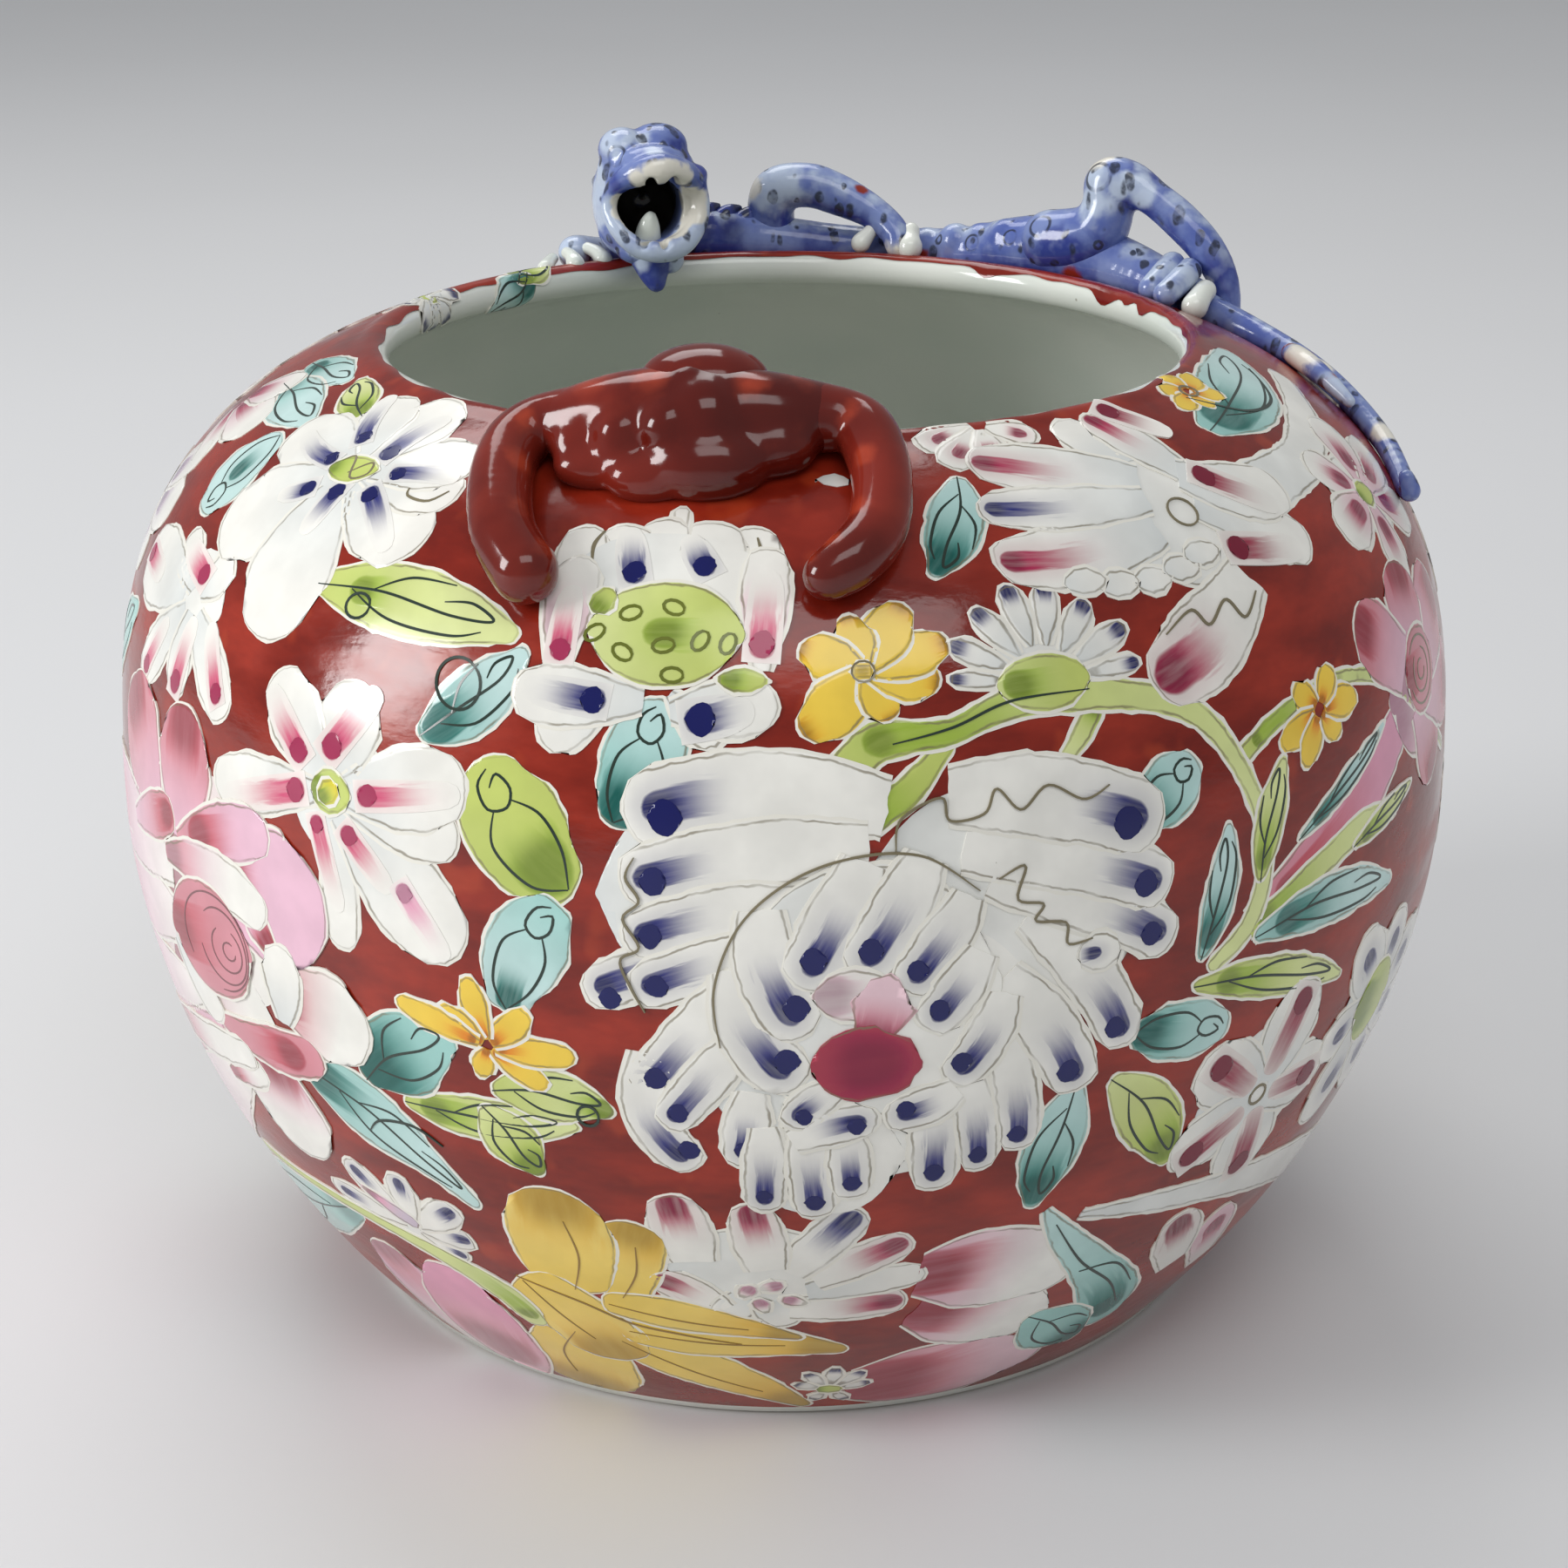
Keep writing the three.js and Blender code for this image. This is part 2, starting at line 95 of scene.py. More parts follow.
def add_node(tree, kind, wires=None, **settings):
    """Adds a shader node. Each wire is an input with its value, or with the output that feeds it."""
    made = tree.nodes.new("ShaderNode" + kind)
    for name, value in settings.items():
        setattr(made, name, value)
    for socket, value in (wires or {}).items():
        if isinstance(value, bpy.types.NodeSocket):
            tree.links.new(value, made.inputs[socket])
        else:
            made.inputs[socket].default_value = value
    return made.outputs


def light_room():
    """Pale walls that light everything, and look a little darker in the glaze than they do to the eye."""
    tree = room.node_tree
    tree.nodes["Background"].inputs["Color"].default_value = look(225, 227, 230)
    mirrored = add_node(tree, "LightPath")["Is Glossy Ray"]
    strength = add_node(tree, "MapRange", {"Value": mirrored, "To Min": 0.62, "To Max": 0.36})[0]
    tree.links.new(strength, tree.nodes["Background"].inputs["Strength"])


light_room()


def new_finish(name, roughness):
    """A material with its node tree, its one shader and each point's place in the object."""
    material = bpy.data.materials.new(name)
    material.use_nodes = True
    tree = material.node_tree
    shader = tree.nodes["Principled BSDF"]
    shader.inputs["Roughness"].default_value = roughness
    return material, tree, shader, add_node(tree, "TexCoord")["Object"]


def show(tree, shader, tone, height=None, strength=0, depth=0):
    """Gives the shader its colour, and a relief of so many metres where there is a height."""
    tree.links.new(tone, shader.inputs["Base Color"])
    if height is not None:
        bump = add_node(tree, "Bump", {"Height": height, "Strength": strength, "Distance": depth})[0]
        tree.links.new(bump, shader.inputs["Normal"])


def mottle(tree, where, scale, detail=3):
    """Soft noise, 0 to 1, with so many waves a metre."""
    return add_node(tree, "TexNoise", {"Vector": where, "Scale": scale, "Detail": detail})[0]


def sums(tree, operation, first, second=0):
    """One step of arithmetic."""
    return add_node(tree, "Math", {0: first, 1: second}, operation=operation)[0]


def times(tree, first, second):
    return sums(tree, "MULTIPLY", first, second)


def plus(tree, first, second):
    return sums(tree, "ADD", first, second)


def ramp(tree, value, low, high, start=0, end=1):
    """Goes smoothly from start to end as the value goes from low to high."""
    wires = {"Value": value, "From Min": low, "From Max": high, "To Min": start, "To Max": end}
    return add_node(tree, "MapRange", wires, interpolation_type="SMOOTHSTEP")[0]


def mixed(tree, share, first, second):
    """The first colour, with a share of the second."""
    wires = {0: share, 6: first, 7: second}
    return add_node(tree, "Mix", wires, data_type="RGBA")[2]


def table_finish():
    material, tree, shader, where = new_finish("pale_table", 0.6)
    show(tree, shader, mixed(tree, mottle(tree, where, 3), look(212, 212, 212), look(220, 220, 221)))
    return material


def meshed(shape):
    """The finished bmesh as a mesh."""
    mesh = bpy.data.meshes.new("mesh")
    shape.to_mesh(mesh)
    shape.free()
    return mesh


sheet = bmesh.new()
bmesh.ops.create_grid(sheet, x_segments=2, y_segments=2, size=TABLE_SIZE / 2)
table = linked("table", meshed(sheet))
table.data.materials.append(table_finish())

# The bowl
# One thrown and turned wall of porcelain with a rolled lip, a foot ring and a recessed base, under a clear
# glaze. The foot ring is wiped free of glaze where it stands. Sizes are in millimetres.
BELLY_RADIUS, BELLY_HEIGHT = 75, 57.3
SHOULDER_RISE, SHOULDER_POWER = 54.2, 3
UNDERSIDE_FALL, UNDERSIDE_POWER = 83.7, 1.76
MOUTH_RADIUS = 46
WALL = 4
FOOT_CHAMFER = 0.9
FOOT_OUTER, FOOT_INNER = 49.2, 45.4
BASE_RECESS = 2.6
FLOOR_HEIGHT, FLOOR_RADIUS = 6.5, 45
ENAMEL_DEPTH = 0.4  # the enamels lie on the glaze within this depth of the bowl's outer size
LIP_CREST = 64.5  # the length along the wall, from the belly, at which the enamels end
CURVE_STEPS, LIP_STEPS, BOWL_STEPS = 3000, 40, 288
LINE_STEP = 0.25  # between the points of the section that the rest is measured on
MERGE = 1e-6


def turned(point, middle, turn):
    """A point of radius and height, turned about a middle."""
    c, s = math.cos(turn), math.sin(turn)
    out = point - middle
    return middle + np.array([out[0] * c - out[1] * s, out[0] * s + out[1] * c])


def outward(line):
    """The outward direction at each point of a line."""
    along = np.gradient(line, axis=0)
    return np.stack([along[:, 1], -along[:, 0]], 1) / np.linalg.norm(along, axis=1)[:, None]


def wall_line():
    """The wall's section as radius and height: up the outside, over the lip's roll and down the inside."""
    foot = math.asin(((BELLY_HEIGHT - FOOT_CHAMFER) / UNDERSIDE_FALL) ** (UNDERSIDE_POWER / 2))
    mouth = math.acos((MOUTH_RADIUS / BELLY_RADIUS) ** (SHOULDER_POWER / 2))
    under = np.linspace(foot, 0, CURVE_STEPS)[:-1]
    over = np.linspace(0, mouth, CURVE_STEPS)
    radius = np.concatenate([np.cos(under) ** (2 / UNDERSIDE_POWER), np.cos(over) ** (2 / SHOULDER_POWER)])
    height = np.concatenate([
        -UNDERSIDE_FALL * np.sin(under) ** (2 / UNDERSIDE_POWER),
        SHOULDER_RISE * np.sin(over) ** (2 / SHOULDER_POWER),
    ])
    outer = np.stack([BELLY_RADIUS * radius, BELLY_HEIGHT + height], 1)
    inner = (outer - WALL * outward(outer))[::-1]
    middle = (outer[-1] + inner[0]) / 2
    lip = np.array([turned(outer[-1], middle, math.pi * i / LIP_STEPS) for i in range(1, LIP_STEPS)])
    return np.concatenate([outer, lip, inner[inner[:, 1] > FLOOR_HEIGHT + 1]])


def evenly(line, step):
    """The line's points at even steps, each with its length from the belly and its outward direction."""
    lengths = np.concatenate([[0], np.cumsum(np.linalg.norm(np.diff(line, axis=0), axis=1))])
    widest = lengths[np.argmax(line[:, 0])]
    at = np.linspace(0, lengths[-1], int(lengths[-1] / step))
    points = np.stack([np.interp(at, lengths, line[:, k]) for k in (0, 1)], 1)
    return at - widest, points, outward(points)


ARC, LINE, OUT = evenly(wall_line(), LINE_STEP)


def glaze_depth(arc):
    """How far the glaze lies inside the bowl's outer size, so that the enamels on it stay within that."""
    return np.interp(arc, [LIP_CREST - 3, LIP_CREST], [ENAMEL_DEPTH, 0])


def on_wall(flat):
    """Rows of azimuth in degrees, length along the wall and height above its glaze, as points in metres."""
    azimuth, arc, above = np.radians(flat[:, 0]), flat[:, 1], flat[:, 2]
    lift = above - glaze_depth(arc)
    radius = np.interp(arc, ARC, LINE[:, 0]) + np.interp(arc, ARC, OUT[:, 0]) * lift
    height = np.interp(arc, ARC, LINE[:, 1]) + np.interp(arc, ARC, OUT[:, 1]) * lift
    return np.stack([radius * np.sin(azimuth), -radius * np.cos(azimuth), height], 1) * MM


def wrap(shape):
    """Moves a bmesh to the wall from the flat chart of azimuth, length and height above the glaze."""
    flat = np.array([v.co[:] for v in shape.verts])
    for vertex, place in zip(shape.verts, on_wall(flat)):
        vertex.co = place


def add_piece(name, mesh, materials, replaced=()):
    """Makes the finished mesh a piece of the washer."""
    mesh.name = name
    for material in materials:
        mesh.materials.append(material)
    piece = linked(name, mesh)
    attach(piece, "root")
    if replaced:
        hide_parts(*replaced)


def glaze_finish():
    """Clear glaze over white porcelain: faint grey-green where it lies thick, and a few dark pinholes."""
    material, tree, shader, where = new_finish("white_glaze", 0.1)
    cloud = ramp(tree, mottle(tree, where, 22), 0.35, 0.7)
    tone = mixed(tree, cloud, look(231, 232, 224), look(214, 221, 212))
    specks = add_node(tree, "TexVoronoi", {"Vector": where, "Scale": 260})[0]
    pinholes = ramp(tree, specks, 0.03, 0.06, 0.6, 0)
    rare = ramp(tree, mottle(tree, where, 60), 0.6, 0.66)
    tone = mixed(tree, times(tree, pinholes, rare), tone, look(120, 110, 90))
    ripple = plus(tree, mottle(tree, where, 45), times(tree, mottle(tree, where, 400, 1), 0.1))
    show(tree, shader, tone, ripple, 0.12, 0.001)
    return material


def biscuit_finish():
    """Unglazed porcelain, buff from the firing and grey from handling."""
    material, tree, shader, where = new_finish("biscuit", 0.7)
    tone = mixed(tree, mottle(tree, where, 300, 5), look(206, 192, 170), look(158, 144, 126))
    show(tree, shader, tone, mottle(tree, where, 900), 0.3, 0.0003)
    return material


def turn_bowl():
    """Spins the section, with the foot ring and the base under the wall and the floor inside it."""
    wall = (LINE - OUT * glaze_depth(ARC)[:, None])[::4]
    foot = [(0, BASE_RECESS), (FOOT_INNER - 2.4, BASE_RECESS), (FOOT_INNER - 1.2, BASE_RECESS - 0.5)]
    foot += [(FOOT_INNER, 0.3), (FOOT_INNER + 0.4, 0), (FOOT_OUTER, 0), (FOOT_OUTER + 0.8, 0.35)]
    floor = [(FLOOR_RADIUS, FLOOR_HEIGHT + 0.25), (FLOOR_RADIUS - 4, FLOOR_HEIGHT + 0.1), (0, FLOOR_HEIGHT)]
    section = [Vector((r, 0, z)) * MM for r, z in [*foot, *wall, *floor]]
    shape = bmesh.new()
    points = [shape.verts.new(p) for p in section]
    edges = [shape.edges.new(pair) for pair in zip(points, points[1:])]
    bmesh.ops.spin(shape, geom=points + edges, cent=(0, 0, 0), axis=(0, 0, 1), angle=math.tau,
                   steps=BOWL_STEPS, use_merge=True)
    bmesh.ops.remove_doubles(shape, verts=shape.verts, dist=MERGE)
    bmesh.ops.recalc_face_normals(shape, faces=shape.faces)
    for face in shape.faces:
        face.smooth = True
        middle = face.calc_center_median() / MM
        radius = math.hypot(middle.x, middle.y)
        face.material_index = int(middle.z < 0.6 and FOOT_INNER - 0.6 < radius < FOOT_OUTER + 1.2)
    return meshed(shape)


WHITE_GLAZE = glaze_finish()
add_piece("porcelain_bowl", turn_bowl(), [WHITE_GLAZE, biscuit_finish()], ["bowl"])

# The iron-red ground
# Iron-red enamel brushed over the glaze between the flowers, from the foot up to the crest of the lip, where
# its edge wavers. It dried in thick and thin strokes, so it runs from brown red to orange red.
GROUND_THICKNESS = 0.07
GROUND_FOOT, GROUND_TOP = -63.6, 63.9
GROUND_FAR_RISE = 1.2  # how much higher the edge runs on the far side, over the lip's crest
GROUND_DRIPS = [(121, 2.8, 1.7), (146, 1.8, 0.9), (114.6, 1.4, 0.9), (109.6, 2, 1.2), (209, 3.4, 0.8)]
GROUND_WAVER, GROUND_WAVES = 0.7, 9
GROUND_COLUMNS, GROUND_ROWS = 360, 110
GROUND_CROWDING = 1.7  # how much closer the rows lie at the top edge


def ground_finish():
    """Iron red in broad and fine strokes that run round the bowl, worn thin and orange in places."""
    material, tree, shader, where = new_finish("iron_red_ground", 0.16)
    strokes = add_node(tree, "Mapping", {"Vector": where, "Scale": (1, 1, 2.4)})[0]
    broad = ramp(tree, mottle(tree, strokes, 70, 4), 0.36, 0.68)
    fine = ramp(tree, mottle(tree, strokes, 420, 3), 0.3, 0.75)
    tone = mixed(tree, broad, look(112, 26, 15), look(158, 44, 24))
    tone = mixed(tree, times(tree, fine, 0.5), tone, look(134, 34, 18))
    thin = ramp(tree, mottle(tree, where, 150, 2), 0.62, 0.74, 0, 0.5)
    tone = mixed(tree, thin, tone, look(172, 62, 32))
    show(tree, shader, tone, plus(tree, mottle(tree, strokes, 130), times(tree, fine, 0.25)), 0.1, 0.0005)
    tree.links.new(ramp(tree, broad, 0, 1, 0.12, 0.24), shader.inputs["Roughness"])
    return material


def brush_ground():
    """A skin over the wall, its top edge wavering and dripping as the brush left it."""
    shape = bmesh.new()
    bmesh.ops.create_grid(shape, x_segments=GROUND_COLUMNS, y_segments=GROUND_ROWS, size=1)
    for vertex in shape.verts:
        azimuth = 180 * vertex.co.x
        turn = math.radians(azimuth)
        waver = noise.noise(Vector((math.cos(turn), math.sin(turn), 0)) * GROUND_WAVES)
        far = min(1, max(0, (abs(azimuth) - 60) / 30))
        drips = sum(length * math.exp(-((azimuth % 360 - a) / wide) ** 2) for a, wide, length in GROUND_DRIPS)
        top = GROUND_TOP + GROUND_WAVER * waver + GROUND_FAR_RISE * far + drips
        share = (vertex.co.y + 1) / 2
        arc = top - (top - GROUND_FOOT) * (1 - share) ** GROUND_CROWDING
        vertex.co = (azimuth, arc, GROUND_THICKNESS if share < 1 else 0)
    wrap(shape)
    bmesh.ops.remove_doubles(shape, verts=shape.verts, dist=MERGE)
    for face in shape.faces:
        face.smooth = True
    return meshed(shape)


add_piece("iron_red_ground", brush_ground(), [ground_finish()])

# The white aster
# Each flower is painted petal by petal: a thin dark outline, a wash of opaque enamel inside it, and a loaded
# touch of colour that starts dark and is drawn out pale. The outline keeps a white edge outside it. The aster
# has eight white petals and seven navy touches round a lime heart.
Paint = namedtuple("Paint", "root tip ink head tail breadth")
WHITE = look(240, 238, 230)
SHADED_WHITE = look(220, 223, 220)
NAVY = look(24, 30, 112)
LIME, PALE_LIME, DEEP_LIME = look(196, 208, 112), look(218, 226, 158), look(156, 182, 66)
LINE_INK = look(126, 117, 92)
COVER = 0.1  # how far the lowest enamel stands above the glaze
LAYER = 0.022  # how much higher each touch stands than the one under it
CELL = 1.05  # the size of a touch's mesh cells
PILE = 1.6e-5  # how much each point laid before it lifts a touch
BELOW_GLAZE = -0.1
HALO = 0.38  # the white edge outside an outline
LEAN = 0.3  # how far a touch leans across its width, in layers
BROAD_WAVES, FINE_WAVES = 0.45, 1.3  # how close the waves of a hand-drawn edge run
NO_OUTLINE = -9
NEAR = 0.01  # the share of a touch's length over which its direction is taken
WIRE_END = 0.45  # the width of a drawn line's ends, as a share of its own
DISC_ROWS = (-1, -0.9, -0.66, -0.34, 0, 0.34, 0.66, 0.9, 1)
PETAL = (0.42, 0.82, 1, 0.84)
PLAIN_WHITE = Paint(SHADED_WHITE, WHITE, WHITE, 9, 8, 1)
NAVY_FROM_HEART = Paint(SHADED_WHITE, WHITE, NAVY, 0.16, 0.9, 0.3)
LIME_HEART = Paint(LIME, LIME, DEEP_LIME, 0.15, 0.7, 0.6)


def held(tree, name, kind="Fac"):
    """What each mesh point holds under a name."""
    return add_node(tree, "Attribute", attribute_name=name)[kind]


def ink_share(tree, where):
    """How much ink covers each point of a touch, and how far the point is from the touch's dark head."""
    across, away, reach = add_node(tree, "SeparateXYZ", {0: held(tree, "touch", "Vector")})[:3]
    hair = add_node(tree, "CombineXYZ", {0: times(tree, across, 2.6), 1: times(tree, away, 0.22)})[0]
    far = add_node(tree, "VectorMath", {0: where, 1: (90, 90, 90)}, operation="MULTIPLY")[0]
    hairs = mottle(tree, add_node(tree, "VectorMath", {0: hair, 1: far}, operation="ADD")[0], 1, 4)
    behind = sums(tree, "MINIMUM", away, 0)
    squares = plus(tree, times(tree, across, across), times(tree, behind, behind))
    round_head = sums(tree, "SQRT", squares)
    drawn = sums(tree, "DIVIDE", away, reach)
    fray = times(tree, ramp(tree, hairs, 0.2, 0.8, -1, 1), ramp(tree, drawn, 0, 0.5, 0.05, 0.5))
    off = plus(tree, round_head, fray)
    soft = ramp(tree, drawn, 0, 1, 0.14, 0.6)
    covered = ramp(tree, sums(tree, "SUBTRACT", 0.95, off), times(tree, soft, -1), soft)
    veil = times(tree, ramp(tree, drawn, 0, 1, 0.22, 0), ramp(tree, round_head, 0.8, 2.4, 1, 0))
    fading = ramp(tree, drawn, 0.1, 1, 1, 0)
    dark = sums(tree, "POWER", fading, 2.1)
    streaks = ramp(tree, hairs, 0.25, 0.7, 0.8, 1)
    share = times(tree, times(tree, covered, dark), streaks)
    from_head = sums(tree, "SQRT", plus(tree, times(tree, across, across), times(tree, away, away)))
    return sums(tree, "MAXIMUM", share, veil), from_head


def enamel_finish():
    """The enamels of all the flowers. Each mesh point holds its wash, its ink, its distance inside the
    outline and its place in the touch of ink: across, away from the head, and the tail's length, in touch
    widths."""
    material, tree, shader, where = new_finish("painted_enamel", 0.15)
    wash, ink, inside = held(tree, "wash", "Color"), held(tree, "ink", "Color"), held(tree, "inside")
    share, from_head = ink_share(tree, where)
    pool = ramp(tree, from_head, 0.4, 1.4, 0.55, 1)
    ink = add_node(tree, "VectorMath", {0: ink, 1: pool}, operation="MULTIPLY")[0]
    pooled = ramp(tree, mottle(tree, where, 160, 3), 0.3, 0.75, 0.9, 1.03)
    tone = add_node(tree, "VectorMath", {0: wash, 1: pooled}, operation="MULTIPLY")[0]
    tone = mixed(tree, share, tone, ink)
    wander = plus(tree, inside, ramp(tree, mottle(tree, where, 500, 2), 0.3, 0.7, -0.1, 0.1))
    line = times(tree, ramp(tree, wander, 0, 0.1), ramp(tree, wander, 0.2, 0.34, 1, 0))
    broken = ramp(tree, mottle(tree, where, 260, 2), 0.3, 0.62, 0.2, 0.75)
    tone = mixed(tree, times(tree, line, broken), tone, look(122, 112, 88))
    edge = ramp(tree, inside, -0.1, 0.02, 1, 0)
    tone = mixed(tree, edge, tone, look(232, 229, 218))
    swell = ramp(tree, inside, -HALO, 0.5)
    ripple = times(tree, mottle(tree, where, 220, 2), 0.35)
    show(tree, shader, tone, plus(tree, plus(tree, swell, ripple), times(tree, share, 0.3)), 0.35, 0.0002)
    tree.links.new(ramp(tree, mottle(tree, where, 90), 0.3, 0.7, 0.1, 0.2), shader.inputs["Roughness"])
    return material


ENAMEL = enamel_finish()


def degree(arc):
    """The millimetres in one degree of azimuth, at a length along the wall."""
    return math.radians(1) * float(np.interp(arc, ARC, LINE[:, 0]))


def shifted(place, right, up):
    """The chart place that lies so far, in millimetres, from another."""
    return place[0] + right / degree(place[1] + up), place[1] + up


def smooth_row(rows, share):
    """A point of the smooth curve through the rows."""
    k = min(int(share * (len(rows) - 1)), len(rows) - 2)
    f = share * (len(rows) - 1) - k
    a, b, c, d = (rows[max(0, min(j, len(rows) - 1))] for j in range(k - 1, k + 3))
    twice = 2 * b + (c - a) * f + (2 * a - 5 * b + 4 * c - d) * f * f + (3 * b - a - 3 * c + d) * f ** 3
    return 0.5 * twice


class Touch:
    """One touch of the brush on the chart, along rows of (azimuth, length along the wall, half-width)."""

    def __init__(self, rows):
        self.middle = sum(row[0] for row in rows) / len(rows)
        self.rows = [Vector(((a - self.middle) * degree(arc), arc, half)) for a, arc, half in rows]
        self.length = sum((b.xy - a.xy).length for a, b in zip(self.rows, self.rows[1:]))
        self.widest = max(row.z for row in self.rows)
        self.known = {}

    def section(self, share):
        """The middle, the sideways direction and the half-width at a share of the length."""
        key = round(share, 4)
        if key not in self.known:
            here = smooth_row(self.rows, share)
            ahead = smooth_row(self.rows, min(share + NEAR, 1))
            along = ahead - smooth_row(self.rows, max(share - NEAR, 0))
            side = Vector((along.y, -along.x)).normalized()
            self.known[key] = here.xy, side, max(here.z, 0.02)
        return self.known[key]

    def place(self, share, aside, shift=0):
        """The chart place at a share of the length and of the half-width, moved along by a shift."""
        middle, side, half = self.section(share)
        flat = middle + side * (aside * half) + Vector((-side.y, side.x)) * shift
        return self.middle + flat.x / degree(flat.y), flat.y


def open_flower():
    """An empty mesh with what the enamel's finish reads at each point."""
    shape = bmesh.new()
    shape.verts.layers.float_color.new("wash")
    shape.verts.layers.float_color.new("ink")
    shape.verts.layers.float_vector.new("touch")
    shape.verts.layers.float.new("inside")
    return shape


def lay(shape, rows, paint, layer, root_bow=0, tip_bow=1, halo=HALO, ragged=0.28, open_root=True, cell=CELL):
    """Lays one touch of enamel over those before it. Bows round its ends, and ragged wavers its edge."""
    touch = Touch(rows)
    layers = shape.verts.layers
    wash, ink = layers.float_color["wash"], layers.float_color["ink"]
    place_in_touch, inside = layers.float_vector["touch"], layers.float["inside"]
    across = max(1, math.ceil(2 * touch.widest / cell))
    along = max(3, math.ceil(touch.length / cell))
    lift = COVER + LAYER * layer + PILE * len(shape.verts)
    breadth = paint.breadth * touch.widest
    onward = 1 if paint.tail < paint.head else -1
    reach = abs(paint.head - paint.tail) * touch.length / breadth
    grid = bmesh.ops.create_grid(shape, x_segments=across, y_segments=along, size=1)["verts"]
    for vertex in grid:
        aside, share = vertex.co.x, (vertex.co.y + 1) / 2
        half = touch.section(share)[2]
        drop = 1 - math.sqrt(max(0, 1 - aside * aside))
        root, tip = root_bow * touch.section(0)[2], tip_bow * touch.section(1)[2]
        shift = drop * (root * (1 - share) ** 3 - tip * share ** 3)
        rim = abs(aside) > 0.999 or share < 0.001 or share > 0.999
        azimuth, arc = touch.place(share, aside, shift)
        if rim and ragged:
            here = Vector((azimuth * degree(arc), arc, 0))
            waver = noise.noise(here * BROAD_WAVES) + 0.6 * noise.noise(here * FINE_WAVES)
            azimuth, arc = touch.place(share, aside * (1 + ragged * waver / half), shift + ragged * waver)
        rest = min(half * (1 - abs(aside)), (1 - share) * touch.length)
        if not open_root:
            rest = min(rest, share * touch.length)
        vertex.co = (azimuth, arc, lift + LEAN * LAYER * aside)
        vertex[wash] = Vector(paint.root).lerp(Vector(paint.tip), min(1, 1.4 * share))
        vertex[ink] = paint.ink
        away = (paint.head - share) * onward * touch.length / breadth
        vertex[place_in_touch] = (aside * half / breadth, away, reach)
        vertex[inside] = rest - halo
    return touch


def petal_rows(root, tip, half, bend=0, widths=PETAL):
    """Rows for a petal from its root to its tip, bent to its left by so many millimetres."""
    scale = degree((root[1] + tip[1]) / 2)
    run = Vector(((tip[0] - root[0]) * scale, tip[1] - root[1]))
    left = Vector((-run.y, run.x)).normalized() * bend
    rows = []
    for i, width in enumerate(widths):
        share = i / (len(widths) - 1)
        bow = 4 * share * (1 - share)
        rows.append((root[0] + (run.x * share + left.x * bow) / scale, root[1] + run.y * share + left.y * bow,
                     half * width))
    return rows


def petal(shape, root, tip, half, paint, layer, bend=0, widths=PETAL, **edges):
    return lay(shape, petal_rows(root, tip, half, bend, widths), paint, layer, **edges)


def flat(colour):
    """Paint of one colour, with its ink out of reach."""
    return Paint(colour, colour, colour, 9, 8, 1)


def wire(shape, places, layer, half=0.15, ink=LINE_INK):
    """A thin drawn line."""
    last = len(places) - 1
    rows = [(a, arc, half * (WIRE_END if i in (0, last) else 1)) for i, (a, arc) in enumerate(places)]
    lay(shape, rows, flat(ink), layer, halo=NO_OUTLINE, ragged=0, cell=0.5)


def bloom(shape, heart, tips, paint, layer=1, gap=0.14, widths=PETAL):
    """Petals round a heart, each given by its tip, its half-width and any bend."""
    for azimuth, arc, half, *bend in tips:
        root = heart[0] + gap * (azimuth - heart[0]), heart[1] + gap * (arc - heart[1])
        petal(shape, root, (azimuth, arc), half, paint, layer, *bend, widths=widths)


def ring_places(centre, wide, high, turn=0, start=0, sweep=380, steps=12):
    """Places round an ellipse of half-lengths in millimetres, turned by so many degrees."""
    tilt = math.radians(turn)
    places = []
    for i in range(steps + 1):
        a = math.radians(start + sweep * i / steps)
        x, y = wide * math.cos(a), high * math.sin(a)
        right, up = x * math.cos(tilt) - y * math.sin(tilt), x * math.sin(tilt) + y * math.cos(tilt)
        places.append(shifted(centre, right, up))
    return places


def disc(shape, centre, wide, high, paint, layer, turn=0, **edges):
    """A round touch of enamel."""
    tilt = math.radians(turn)
    rows = []
    for share in DISC_ROWS:
        x, y = wide * share * math.cos(tilt), wide * share * math.sin(tilt)
        rows.append((*shifted(centre, x, y), high * max(0.16, math.sqrt(1 - share * share))))
    lay(shape, rows, paint, layer, **{"root_bow": 1, "open_root": False, **edges})


def close_flower(shape, name):
    """Gives the touches their edges down to the glaze, wraps them on the wall and adds the piece."""
    for face in shape.faces:
        face.smooth = True
    rims = [edge for edge in shape.edges if edge.is_boundary]
    for edge in rims:
        edge.smooth = False
    down = bmesh.ops.extrude_edge_only(shape, edges=rims)["geom"]
    for part in down:
        if isinstance(part, bmesh.types.BMVert):
            part.co.z = BELOW_GLAZE
    wrap(shape)
    add_piece(name, meshed(shape), [ENAMEL])


HEAD_DARKNESS = 0.62  # how bright the ink is where it stands thick
DAB = (1, 1, 0.95, 0.8)
DAB_MARGIN = 1.4  # the width of a dab with the white round its ink, in widths of the ink


def head_drop(shape, place, half, ink, layer):
    """The thick dark drop where a loaded brush was set down."""
    disc(shape, place, half, half, flat(Vector(ink) * HEAD_DARKNESS), layer, halo=NO_OUTLINE, ragged=0.2,
         cell=0.4)


